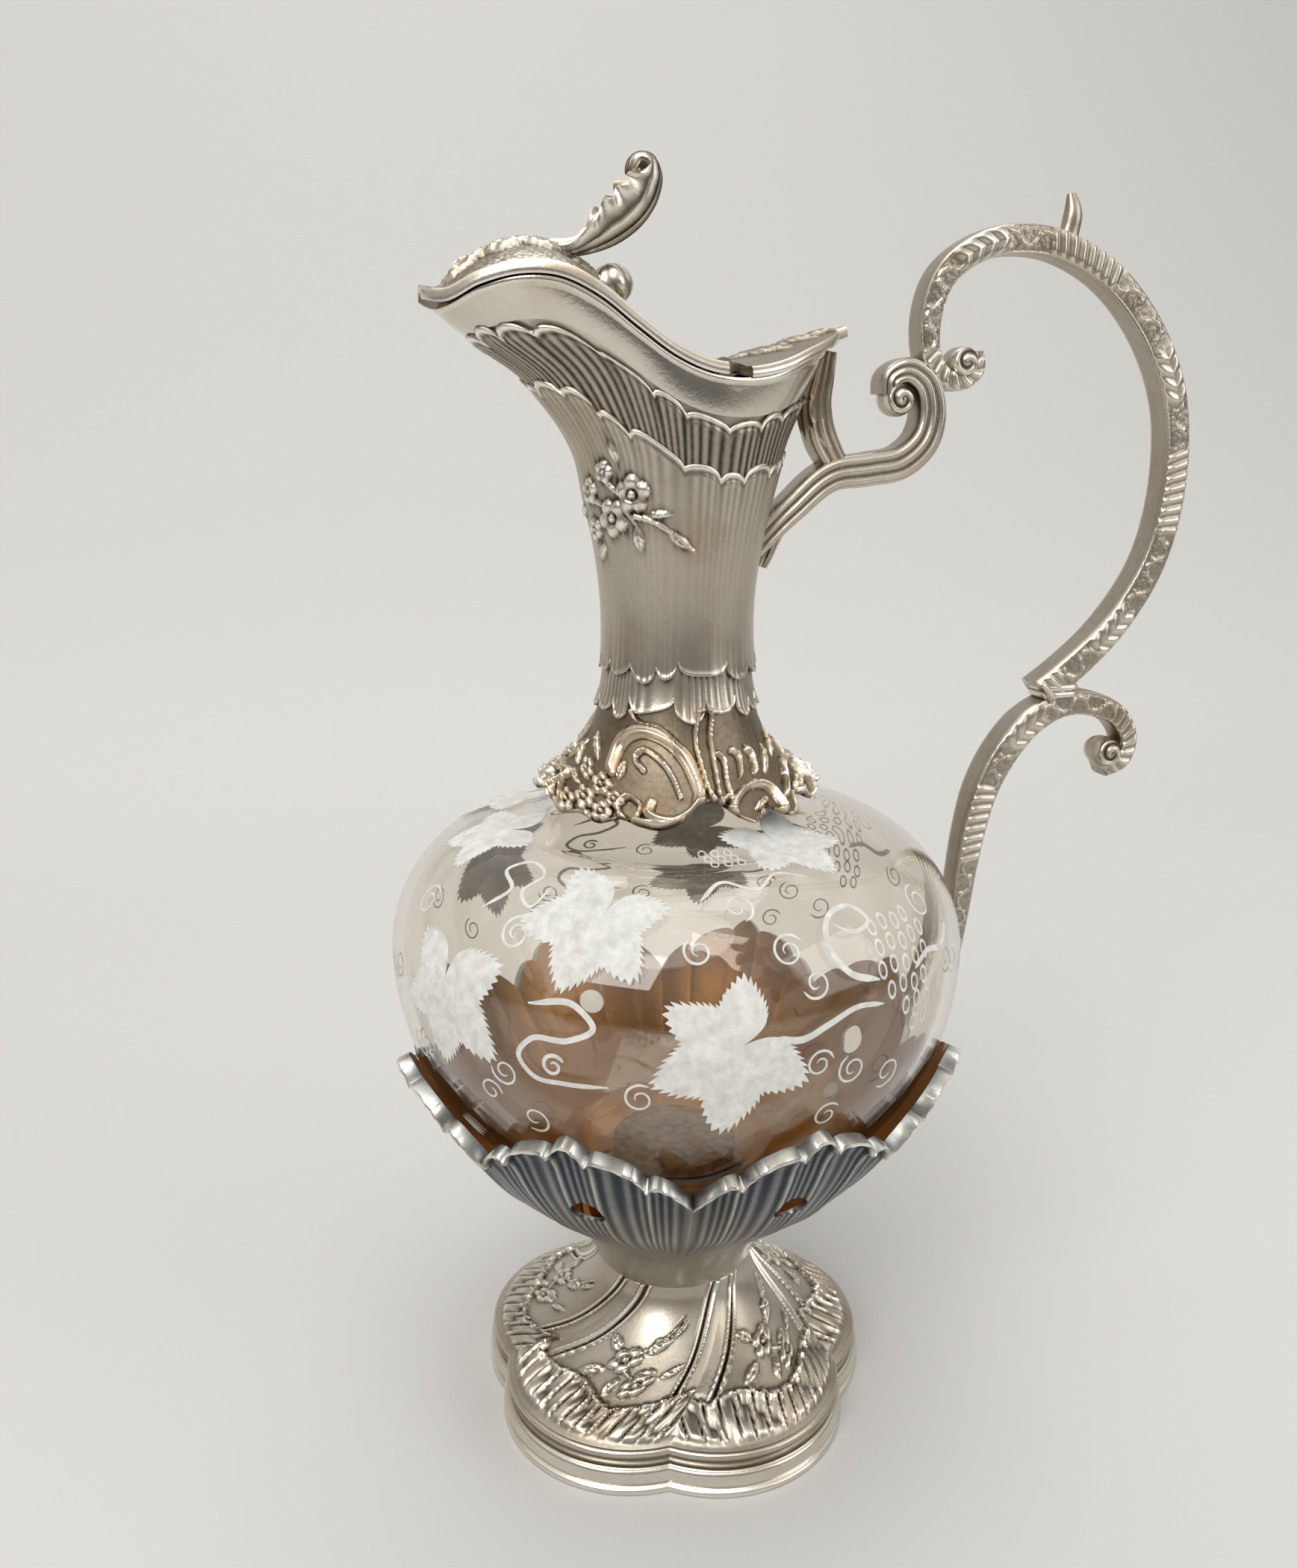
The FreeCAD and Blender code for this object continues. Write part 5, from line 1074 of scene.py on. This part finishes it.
def chased_panels(along, v, half):
    """Runs of rope, leaf and stippled panel that follow each other along the side faces."""
    t = v / half
    rope = np.cos(2 * pi * (along / 2.6 + 0.35 * t))
    scroll = np.cos(2 * pi * along / 9.0) * 0.5 * half - v
    berry = v - 0.4 * half * np.sign(np.cos(2 * pi * along / 9.0))
    vine = dome(scroll, 0.55) + dome(np.hypot((along % 4.5) - 2.25, berry), 0.8)
    grit = np.sin(5.2 * along + 2 * np.sin(3.0 * v)) * np.sin(5.5 * v + 1.5 * np.sin(2.6 * along))
    shell = np.abs(np.sin(pi * (along / 3.4 + 0.8 * np.abs(t))))
    kind = (along % 64) / 64
    roped = ease(kind, 0.0, 0.02) * (1 - ease(kind, 0.30, 0.34))
    shelled = ease(kind, 0.62, 0.66) * (1 - ease(kind, 0.82, 0.86))
    panel = np.clip(1 - roped - shelled, 0, 1)
    height = (-0.35 + roped * (0.35 + 0.30 * rope) + shelled * (0.2 + 0.45 * shell)
              + panel * (0.42 * vine + 0.1 * grit))
    wear = (roped * 0.16 * rope + shelled * (0.24 * shell - 0.12)
            + panel * (0.22 * vine - 0.16 + 0.10 * grit) + 0.02)
    return height, wear


def reeded(_, v, half):
    """Long parallel reeds along the side faces."""
    t = v / half
    reeds = np.cos(2 * pi * 1.6 * t)
    return -0.25 + 0.32 * reeds, 0.22 * reeds - 0.08


def volute_eye(centre, radius, half_width, turns, start):
    """Round boss of a volute: a domed disc across the handle with a spiral line on both faces."""
    t = np.linspace(0, pi, 64)[:, None]
    angle = ring(96)
    reach = radius * np.abs(np.sin(t)) ** 0.45
    y = half_width * signed(np.cos(t), 0.8)
    spiral = np.cos(2 * pi * (reach / radius * turns) - angle * np.sign(np.cos(t)) + start)
    lift = 0.32 * spiral * ease(np.abs(np.cos(t)), 0.25, 0.6)
    y = y + np.sign(np.cos(t)) * lift
    grid = np.stack([centre[0] + reach * np.cos(angle), y + 0 * angle, centre[1] + reach * np.sin(angle)], -1)
    return grid, quads(grid, wrap_columns=True), 0.55 + 0.32 * spiral * ease(np.abs(np.cos(t)), 0.1, 0.4), 0


def spread(points, near, far, low, high):
    """Points given as shares of the way out and up, as millimetres."""
    return [(near + (far - near) * out, low + (high - low) * up) for out, up in points]


def build_bracket(silver):
    """C-scroll that carries the grip, and the two leafy struts that hold it to the neck."""
    line = spread([(0.0, 0.0), (0.25, 0.26), (0.46, 0.435), (0.67, 0.47), (0.85, 0.51), (0.97, 0.63),
                   (1.0, 0.80), (0.955, 0.94), (0.855, 1.0), (0.765, 0.955), (0.755, 0.87)],
                  15.0, 59.3, 209.0, 249.4)
    parts = [handle_bar(line, (1.0, 1.05, 1.1, 1.0, 0.9), (0.8, 1.05, 1.2, 1.1, 0.7), 220, 76, reeded)]
    strut = [(38.0, 227.2), (35.2, 231.0), (32.7, 236.0), (31.9, 242.0), (32.8, 248.0), (33.6, 253.0)]
    parts.append(handle_bar(strut, (0.95, 0.9, 0.85, 0.9), (0.8, 1.0, 0.85, 0.6), 90, 64, reeded))
    parts.append(volute_eye((51.3, 243.1), 3.7, 4.3, 1.6, 0.5))
    for points, wide in ((((36.0, 226.5), (30.0, 222.5), (25.5, 219.0), (22.5, 213.0), (20.2, 206.5)), 3.6),
                         (((38.5, 231.0), (33.5, 225.5), (28.5, 222.2), (26.5, 217.8)), 3.0),
                         (((36.6, 229.5), (31.0, 236.0), (29.6, 242.0), (32.4, 250.5)), 3.8)):
        parts.append(acanthus(points, wide, 1.5))
    add_piece("bracket_scroll", parts, [silver], replaces=("bracket",), sharp=60)


def acanthus(points, wide, thick):
    """Ribbed leaf along a line in the plane of the spout: wavy sides, a sunk midrib and a rounded tip."""
    along, places, ways = path(points, 90)
    share = (along / along[-1])[:, None]
    turn = ring(64)
    across = signed(np.cos(turn), 0.8)
    body = wide * np.sin(pi * np.clip(0.12 + 0.86 * share, 0, 1)) ** 0.55
    waves = 1 - 0.18 * np.abs(np.sin(4.5 * pi * share)) * np.abs(across) ** 2
    ribs = 0.35 * np.cos(across * 3.5 * pi + 0 * share)
    rise = thick * np.sin(turn) * np.sin(pi * np.clip(0.1 + 0.85 * share, 0, 1)) ** 0.4 + ribs * np.sin(turn)
    return capped_bar(swept(places, ways, rise, -across * body * waves), 0.58 + 0.8 * ribs + 0 * rise)


GRIP_LINE = [(69.6, 253.6), (70.2, 250.2), (67.4, 247.4), (62.9, 247.6), (58.6, 252.2), (57.6, 258.1),
             (60.5, 269.0), (70.0, 275.9), (84.0, 277.6), (100.0, 272.5), (114.0, 260.5), (123.0, 244.5),
             (125.5, 226.1), (121.5, 204.5), (112.0, 189.7), (98.3, 177.5), (93.6, 174.2)]


def build_grip(silver):
    """Large C-scroll that the hand holds, and the small pointed leaf on top of it."""
    widths = (0.8, 0.95, 1.0, 1.0, 1.0, 1.0, 1.0, 1.05, 1.1)
    depths = (0.55, 0.8, 1.0, 1.0, 1.0, 1.0, 1.05, 1.1, 1.15)
    parts = [handle_bar(GRIP_LINE, widths, depths, 520, 88, chased_panels)]
    parts.append(volute_eye((67.0, 251.2), 3.6, 4.2, 1.4, 2.0))
    add_piece("grip_chased", parts, [silver], replaces=("grip",), sharp=60)
    spur = [(91.5, 274.5), (92.6, 279.5), (93.2, 284.0), (92.4, 288.0)]
    along, places, ways = path(spur, 60)
    share = (along / along[-1])[:, None]
    turn = ring(48)
    deep = through(share, (0, 0.35, 0.7, 1.0), (3.8, 2.4, 2.1, 1.0))
    wide = through(share, (0, 0.35, 0.7, 1.0), (2.4, 1.9, 1.9, 0.8))
    rise = deep * np.sin(turn) * (1 - 0.25 * swell(np.cos(turn), 0.5) * (np.sin(turn) > 0))
    tip = capped_bar(swept(places, ways, rise, -wide * np.cos(turn)), 0.6 + 0 * rise)
    add_piece("grip_spur_leaf", [tip], [silver], replaces=("grip_spur",), sharp=60)


def build_scroll(silver):
    """Lower scroll that runs down to the shells, and the moulded collar between it and the grip."""
    line = [(113.5, 153.2), (118.2, 155.2), (119.8, 160.3), (116.8, 166.3), (109.0, 170.4), (100.0, 171.0),
            (91.5, 167.2), (84.0, 158.8), (79.6, 149.9), (77.4, 141.0), (75.8, 129.9), (74.6, 118.0),
            (72.8, 107.0), (69.6, 97.6), (65.6, 89.5), (60.9, 82.0), (55.9, 74.9), (49.5, 68.4)]
    widths = (0.9, 1.0, 1.05, 1.0, 0.9, 0.9, 1.0)
    depths = (0.6, 0.95, 1.15, 1.0, 0.85, 0.8, 0.6)
    parts = [handle_bar(line, widths, depths, 420, 88, chased_panels)]
    parts.append(volute_eye((114.4, 157.6), 3.8, 4.3, 1.6, 1.0))
    parts.append(acanthus(((72.5, 106.0), (69.2, 96.0), (64.5, 86.8), (58.6, 77.6), (52.8, 70.4)), 5.4, 1.9))
    add_piece("lower_scroll_chased", parts, [silver], replaces=("lower_scroll",), sharp=60)
    turn = ring(120)
    profile = np.array([(172.7, 0.0), (172.7, 0.86), (173.1, 0.97), (173.7, 1.0), (174.3, 0.95),
                        (174.5, 0.86), (174.7, 0.95), (175.3, 1.02), (175.9, 0.97), (176.3, 0.86),
                        (176.3, 0.0)])
    x = 98.3 + 5.4 * profile[:, 1:] * signed(np.cos(turn), 0.55)
    y = 4.5 * profile[:, 1:] * signed(np.sin(turn), 0.55)
    grid = np.stack([x, y, profile[:, :1] + 0 * turn], -1)
    collar = (grid, quads(grid, wrap_columns=True), 0.35 + 0.5 * profile[:, 1:] ** 4, 0)
    add_piece("joint_collar_moulded", [collar], [silver], replaces=("joint_collar",), sharp=60)


# Materials
def add_node(tree, kind, settings=(), links=()):
    """Adds one node: settings are (property, input or "stops", value) and links are (input, socket)."""
    node = tree.nodes.new(kind)
    for key, value in settings:
        if key == "stops":
            ramp = node.color_ramp.elements
            for place, _ in value[2:]:
                ramp.new(place)
            for element, (place, code) in zip(ramp, value):
                element.position = place
                element.color = linear(code)
        elif isinstance(key, str) and key in node.bl_rna.properties:
            setattr(node, key, value)
        else:
            node.inputs[key].default_value = value
    for key, socket in links:
        tree.links.new(socket, node.inputs[key])
    return node


def new_material(name, settings):
    """Material with one principled shader: the material, its node tree and the shader."""
    material = bpy.data.materials.new(name)
    material.use_nodes = True
    tree = material.node_tree
    tree.nodes.clear()
    shader = add_node(tree, "ShaderNodeBsdfPrincipled", settings)
    add_node(tree, "ShaderNodeOutputMaterial", (), [("Surface", shader.outputs["BSDF"])])
    return material, tree, shader


def silver(name, stops, tarnish, share, rough, steady=None):
    """Raised and chased silver, rubbed bright on its high places, with dark oxide left in the hollows and
    warm tarnish in soft patches about 20 mm wide; its darker tones are partly painted shade and painted
    reflection of dim surroundings, and its bright high places partly painted highlight; a hammered grain of
    about 0.6 mm breaks up its gloss."""
    material, tree, shader = new_material(name, [("Metallic", 1.0)])
    place = add_node(tree, "ShaderNodeTexCoord")
    patch = add_node(tree, "ShaderNodeTexNoise", [("Scale", 50.0), ("Detail", 3.0), ("Roughness", 0.6)],
                     [("Vector", place.outputs["Object"])])
    speck = add_node(tree, "ShaderNodeTexNoise", [("Scale", 900.0), ("Detail", 4.0), ("Roughness", 0.7)],
                     [("Vector", place.outputs["Object"])])
    shift = add_node(tree, "ShaderNodeMath", [("operation", "MULTIPLY_ADD"), (1, 0.16), (2, -0.08)],
                     [(0, speck.outputs["Fac"])])
    level = add_node(tree, "ShaderNodeMath", [("operation", "ADD"), (0, steady or 0.0)],
                     [(1, shift.outputs[0])])
    if steady is None:
        wear = add_node(tree, "ShaderNodeAttribute", [("attribute_name", "wear")])
        tree.links.new(wear.outputs["Fac"], level.inputs[0])
    tone = add_node(tree, "ShaderNodeValToRGB", [("stops", stops)], [("Fac", level.outputs[0])])
    veil = add_node(tree, "ShaderNodeMapRange",
                    [("From Min", 0.46), ("From Max", 0.70), ("To Min", 0.0), ("To Max", share)],
                    [("Value", patch.outputs["Fac"])])
    colour = add_node(tree, "ShaderNodeMix",
                      [("data_type", "RGBA"), ("blend_type", "MULTIPLY"), (7, linear(tarnish))],
                      [(0, veil.outputs["Result"]), (6, tone.outputs["Color"])])
    gloss = add_node(tree, "ShaderNodeMapRange",
                     [("From Min", 0.1), ("From Max", 0.9), ("To Min", rough + 0.26), ("To Max", rough)],
                     [("Value", level.outputs[0])])
    bump = add_node(tree, "ShaderNodeBump", [("Strength", 0.10), ("Distance", 0.0004)],
                    [("Height", speck.outputs["Fac"])])
    tree.links.new(colour.outputs[2], shader.inputs["Base Color"])
    tree.links.new(gloss.outputs["Result"], shader.inputs["Roughness"])
    tree.links.new(bump.outputs["Normal"], shader.inputs["Normal"])
    return material


def grained(name, settings, kind, texture, stops, output="Fac", bump=0.0):
    """Material whose colour, and relief if asked for, follow one texture in the piece's own coordinates."""
    material, tree, shader = new_material(name, settings)
    place = add_node(tree, "ShaderNodeTexCoord")
    grain = add_node(tree, kind, texture, [("Vector", place.outputs["Object"])])
    tone = add_node(tree, "ShaderNodeValToRGB", [("stops", stops)], [("Fac", grain.outputs[output])])
    tree.links.new(tone.outputs["Color"], shader.inputs["Base Color"])
    if bump:
        relief = add_node(tree, "ShaderNodeBump", [("Strength", bump), ("Distance", 0.0003)],
                          [("Height", grain.outputs[output])])
        tree.links.new(relief.outputs["Normal"], shader.inputs["Normal"])
    return material


def make_materials(colours):
    """The ewer's materials by short name; silver stops go from the deepest hollow to the highest place,
    the dark end partly painted shade and the bright end partly painted highlight.
    """
    shades = {}
    bright = colours.silver_bright
    chased = [(0.0, "#15130f"), (0.26, "#4a443b"), (0.46, colours.silver_mid), (0.66, "#c2baac"),
              (0.92, bright)]
    toned = [(0.0, "#16130f"), (0.26, "#50463a"), (0.46, "#a39580"), (0.66, "#ccbda5"), (0.92, bright)]
    polished = [(0.0, "#38332c"), (0.35, "#8a8173"), (0.6, "#bdb5a7"), (0.8, "#d6d0c4"), (1.0, "#f1ede5")]
    oxidised = [(0.0, "#14171c"), (0.3, "#474d55"), (0.5, "#858889"), (0.72, "#bfbeb9"), (0.95, "#f1eee8")]
    gilt = [(0.0, "#5a3d1e"), (0.3, "#996d3c"), (0.5, colours.gilt), (0.8, "#dcb67e"), (1.0, "#ecd0a2")]
    # Chased silver keeps dark oxide in its hollows, deepened with painted shade, and painted highlight on its
    #  high places; the collar's is warmer; polished silver is rubbed clean; the shells' silver is blue-black
    #  with bright edges, partly rubbed and partly painted highlight; their insides and the cup are gilt, worn
    #  to brown.
    shades["chased"] = silver("chased_silver_patinated", chased, "#d6b993", 0.42, 0.20)
    shades["toned"] = silver("chased_silver_toned", toned, "#cfa67a", 0.5, 0.25)
    shades["polished"] = silver("polished_silver", polished, "#dcc4a2", 0.38, 0.14)
    shades["oxidised"] = silver("oxidised_silver", oxidised, "#cdbea6", 0.35, 0.22)
    shades["gilt"] = silver("silver_gilt_worn", gilt, "#b98a52", 0.5, 0.34)
    shades["turned"] = silver("turned_silver", polished, "#d9bc95", 0.4, 0.18, steady=0.65)
    shades["lining"] = silver("silver_gilt_lining", gilt, "#b98a52", 0.5, 0.34, steady=0.6)

    # Blown lead crystal: clear, a little warm where it is thick, polished inside and out.
    shades["glass"], _, _ = new_material(
        "clear_crystal",
        [("Base Color", linear(colours.glass)), ("Roughness", 0.0), ("IOR", 1.52),
         ("Transmission Weight", 1.0)])

    # Wheel-engraved glass: matt white, with fine strokes of about 0.5 mm, and a little of the inside shows.
    shades["frosted"] = grained(
        "frosted_engraving",
        [("Roughness", 0.85), ("IOR", 1.45), ("Specular IOR Level", 0.25), ("Alpha", 0.80)],
        "ShaderNodeTexNoise", [("Scale", 420.0), ("Detail", 3.0), ("Roughness", 0.6)],
        [(0.3, "#d9d8d2"), (0.7, "#f7f6f1")])

    # Turned brass of the hidden bolt: yellow, with rings about 0.3 mm apart.
    shades["brass"] = grained(
        "turned_brass", [("Metallic", 1.0), ("Roughness", 0.32)], "ShaderNodeTexWave",
        [("wave_type", "RINGS"), ("rings_direction", "Z"), ("Scale", 500.0), ("Distortion", 0.4)],
        [(0.0, "#9c7a3a"), (1.0, "#c9a55c")])

    # Pressed cork: brown grains of about 2 mm with dark gaps, quite matt.
    shades["cork"] = grained(
        "pressed_cork", [("Roughness", 0.9), ("Specular IOR Level", 0.2)], "ShaderNodeTexVoronoi",
        [("Scale", 450.0)], [(0.0, "#b98a58"), (0.55, "#a2733f"), (0.9, "#5f3d1f")], "Distance", 0.4)

    # Set plaster: off-white with a fine grain of about 1 mm.
    shades["plaster"] = grained(
        "set_plaster", [("Roughness", 0.95)], "ShaderNodeTexNoise", [("Scale", 900.0), ("Detail", 2.0)],
        [(0.3, "#cfc8b8"), (0.7, "#e6e0d2")])
    return shades


# Studio
def add_holder(scene, name, data):
    """Puts a mesh, lamp or camera into the scene."""
    holder = bpy.data.objects.new(name, data)
    scene.collection.objects.link(holder)
    return holder


def lay_floor(scene, ground):
    """Sheet of paper that runs level under the jug and bends up behind it."""
    run = np.linspace(0, 1, 60)[:, None]
    side = np.linspace(-2.6, 2.6, 40)[None]
    bend = ease(run, 0.55, 1.0)
    grid = np.stack(np.broadcast_arrays(side, -1.6 + 3.4 * run - 0.4 * bend, 1.9 * bend ** 2), -1)
    mesh = bpy.data.meshes.new("studio_sweep")
    mesh.from_pydata(grid.reshape(-1, 3).tolist(), [], quads(grid).tolist())
    mesh.polygons.foreach_set("use_smooth", np.ones(len(mesh.polygons), bool))
    # Matt paper: pale grey, without grain, so that it takes only the jug's soft shadow.
    material, _, _ = new_material("paper_sweep", [("Base Color", linear(ground)), ("Roughness", 0.95),
                                                  ("Specular IOR Level", 0.1)])
    mesh.materials.append(material)
    floor = add_holder(scene, "studio_sweep", mesh)


def light_world(scene, ground):
    """Even white light, seen as the paper's grey; metal mirrors a bright ceiling over a dim horizon."""
    world = bpy.data.worlds.new("studio")
    scene.world = world
    world.use_nodes = True
    tree = world.node_tree
    tree.nodes.clear()
    ray = add_node(tree, "ShaderNodeLightPath")
    seen = add_node(tree, "ShaderNodeMath", [("operation", "MAXIMUM")],
                    [(0, ray.outputs["Is Camera Ray"]), (1, ray.outputs["Is Transmission Ray"])])
    way = add_node(tree, "ShaderNodeTexCoord")
    parts = add_node(tree, "ShaderNodeSeparateXYZ", (), [(0, way.outputs["Generated"])])
    glow = add_node(tree, "ShaderNodeMapRange",
                    [("From Min", -0.05), ("From Max", 0.7), ("To Min", 0.16), ("To Max", 1.45)],
                    [("Value", parts.outputs["Z"])])
    mirrored = add_node(tree, "ShaderNodeBackground", [("Color", linear(ground))],
                        [("Strength", glow.outputs[0])])
    soft = add_node(tree, "ShaderNodeBackground", [("Color", (1, 1, 1, 1)), ("Strength", 0.45)])
    pale = add_node(tree, "ShaderNodeBackground", [("Color", linear(ground)), ("Strength", 1.0)])
    both = add_node(tree, "ShaderNodeMixShader", (),
                    [(0, seen.outputs[0]), (1, soft.outputs[0]), (2, pale.outputs[0])])
    full = add_node(tree, "ShaderNodeMixShader", (),
                    [(0, ray.outputs["Is Glossy Ray"]), (1, both.outputs[0]), (2, mirrored.outputs[0])])
    add_node(tree, "ShaderNodeOutputWorld", (), [("Surface", full.outputs[0])])


def set_lamps(scene, light):
    """Three softboxes aimed at the jug, and a wide ceiling light that keeps the paper pale to its edges."""
    for name, place, size, power in (("key_softbox", (-0.75, -0.85, 1.05), 0.7, 7.0),
                                     ("fill_softbox", (0.95, -0.75, 0.65), 0.8, 3.0),
                                     ("top_softbox", (0.1, 0.35, 1.25), 0.8, 3.0)):
        lamp = bpy.data.lights.new(name, "AREA")
        lamp.shape = "SQUARE"
        lamp.size = size
        lamp.energy = power * light
        holder = add_holder(scene, name, lamp)
        holder.location = place
        aim = Vector((0.02, 0, 0.15)) - Vector(place)
        holder.rotation_euler = aim.to_track_quat("-Z", "Y").to_euler()
    ceiling = bpy.data.lights.new("ceiling", "SUN")
    ceiling.energy = 0.85 * light
    ceiling.angle = radians(50)
    add_holder(scene, "ceiling", ceiling).rotation_euler = (radians(18), radians(-14), 0)


def set_camera(scene, view):
    """Camera at the photo's place, looking the photo's way."""
    camera = bpy.data.cameras.new("camera")
    camera.sensor_fit = "AUTO"
    camera.sensor_width = 36.0
    camera.lens = view.lens
    camera.clip_start = 0.01
    holder = add_holder(scene, "camera", camera)
    holder.location = view.place
    holder.rotation_euler = Vector(view.aim).to_track_quat("-Z", "Y").to_euler()
    scene.camera = holder
    scene.view_settings.view_transform = "Standard"


# Add-on
SHADES = {}
CARRIED = {"base_cup": "lining", "tie_bolt": "brass", "tie_washer": "brass", "tie_nut": "brass",
           "cork_pad": "cork", "neck_bedding": "plaster", "handle_screw": "turned",
           "lid_knuckle": "turned", "fixed_knuckles": "turned", "hinge_pin": "turned"}


class EwerColours(bpy.types.PropertyGroup):
    """Colours of the ewer's finishes, as sRGB hex values."""

    silver_bright: bpy.props.StringProperty(name="Bright silver",
                                            description="Rubbed high places of the silver", default="#f3efe7")
    # The patina tone is darker than clean silver: partly real patina, partly painted reflection of dim
    # surroundings.
    silver_mid: bpy.props.StringProperty(name="Patina",
                                         description="Silver between the high places and the hollows",
                                         default="#9f978a")
    gilt: bpy.props.StringProperty(name="Gilding", description="Worn gilding inside the shells",
                                   default="#cb9a5e")
    glass: bpy.props.StringProperty(name="Glass", description="Tint of the clear glass", default="#f7f3ec")
    ground: bpy.props.StringProperty(name="Ground", description="Floor and backdrop", default="#d5d3cf")


class EwerView(bpy.types.PropertyGroup):
    """Camera and light of the studio."""

    lens: bpy.props.FloatProperty(name="Lens", description="Focal length in millimetres", default=29.14,
                                  min=10, max=200)
    place: bpy.props.FloatVectorProperty(name="Camera", description="Place of the camera",
                                         subtype="TRANSLATION", unit="LENGTH",
                                         default=(-0.0846, -0.2722, 0.2335))
    aim: bpy.props.FloatVectorProperty(name="Aim", description="Direction that the camera looks in",
                                       subtype="DIRECTION", default=(0.266, 0.9285, -0.2588))
    light: bpy.props.FloatProperty(name="Light", description="Brightness of the soft lamps", default=1.0,
                                   min=0.1, max=5)


class EWER_OT_materials(bpy.types.Operator):
    """Makes the ewer's materials and gives them to the carried-over pieces"""

    bl_idname = "ewer.materials"
    bl_label = "Materials"

    def execute(self, context):
        SHADES.update(make_materials(context.scene.ewer_colours))
        for node, shade in CARRIED.items():
            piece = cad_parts[node]
            piece.data.materials.clear()
            piece.data.materials.append(SHADES[shade])
        return {"FINISHED"}


class EwerStep:
    """What the building steps share: each job is a builder and the short names of its materials."""

    jobs = ()

    def execute(self, context):
        for build, names in self.jobs:
            build(*(SHADES[name] for name in names))
        return {"FINISHED"}


class EWER_OT_foot(EwerStep, bpy.types.Operator):
    """Chases the lobed foot and turns its base moulding"""

    bl_idname = "ewer.foot"
    bl_label = "Foot"
    jobs = ((build_foot, ("chased",)), (build_rim, ("polished",)))


class EWER_OT_shells(EwerStep, bpy.types.Operator):
    """Raises the fluted shells that hold the glass"""

    bl_idname = "ewer.shells"
    bl_label = "Shells"
    jobs = ((build_shells, ("oxidised", "gilt")),)


class EWER_OT_glass(EwerStep, bpy.types.Operator):
    """Blows the bottle and engraves the vine on it"""

    bl_idname = "ewer.glass"
    bl_label = "Engraved glass"
    jobs = ((build_glass, ("glass",)), (build_engraving, ("frosted",)))


class EWER_OT_neck(EwerStep, bpy.types.Operator):
    """Chases the neck mount with its tiers, flowers and rocaille collar"""

    bl_idname = "ewer.neck"
    bl_label = "Neck mount"
    jobs = ((build_neck, ("chased",)), (build_collar, ("toned",)), (build_band, ("polished",)))


class EWER_OT_lid(EwerStep, bpy.types.Operator):
    """Makes the hinged lid, its thumb-piece and the fixed rear plate"""

    bl_idname = "ewer.lid"
    bl_label = "Lid"
    jobs = ((build_lid, ("chased",)), (build_thumb, ("chased",)))


class EWER_OT_handle(EwerStep, bpy.types.Operator):
    """Models the bracket, grip and lower scroll of the handle"""

    bl_idname = "ewer.handle"
    bl_label = "Handle"
    jobs = ((build_bracket, ("chased",)), (build_grip, ("chased",)), (build_scroll, ("chased",)))


class EWER_OT_stage(bpy.types.Operator):
    """Sets the pale floor, the soft studio light and the camera"""

    bl_idname = "ewer.stage"
    bl_label = "Stage"

    def execute(self, context):
        scene = context.scene
        lay_floor(scene, scene.ewer_colours.ground)
        light_world(scene, scene.ewer_colours.ground)
        set_lamps(scene, scene.ewer_view.light)
        set_camera(scene, scene.ewer_view)
        return {"FINISHED"}


class EWER_PT_panel(bpy.types.Panel):
    """Steps that make the ewer"""

    bl_idname = "EWER_PT_panel"
    bl_label = "Ewer"
    bl_space_type = "VIEW_3D"
    bl_region_type = "UI"
    bl_category = "Ewer"

    def draw(self, context):
        for step in STEPS:
            self.layout.operator(step.bl_idname)
        for group in (context.scene.ewer_colours, context.scene.ewer_view):
            for name in group.__annotations__:
                self.layout.prop(group, name)


STEPS = (EWER_OT_stage, EWER_OT_materials, EWER_OT_foot, EWER_OT_shells, EWER_OT_glass, EWER_OT_neck,
         EWER_OT_lid, EWER_OT_handle)
CLASSES = (EwerColours, EwerView) + STEPS + (EWER_PT_panel,)


def register():
    for item in CLASSES:
        bpy.utils.register_class(item)
    bpy.types.Scene.ewer_colours = bpy.props.PointerProperty(type=EwerColours)
    bpy.types.Scene.ewer_view = bpy.props.PointerProperty(type=EwerView)


def unregister():
    del bpy.types.Scene.ewer_view
    del bpy.types.Scene.ewer_colours
    for item in reversed(CLASSES):
        bpy.utils.unregister_class(item)


def main():
    """Runs every step."""
    register()
    for step in STEPS:
        family, name = step.bl_idname.split(".")
        getattr(getattr(bpy.ops, family), name)()


if __name__ == "__main__":
    main()
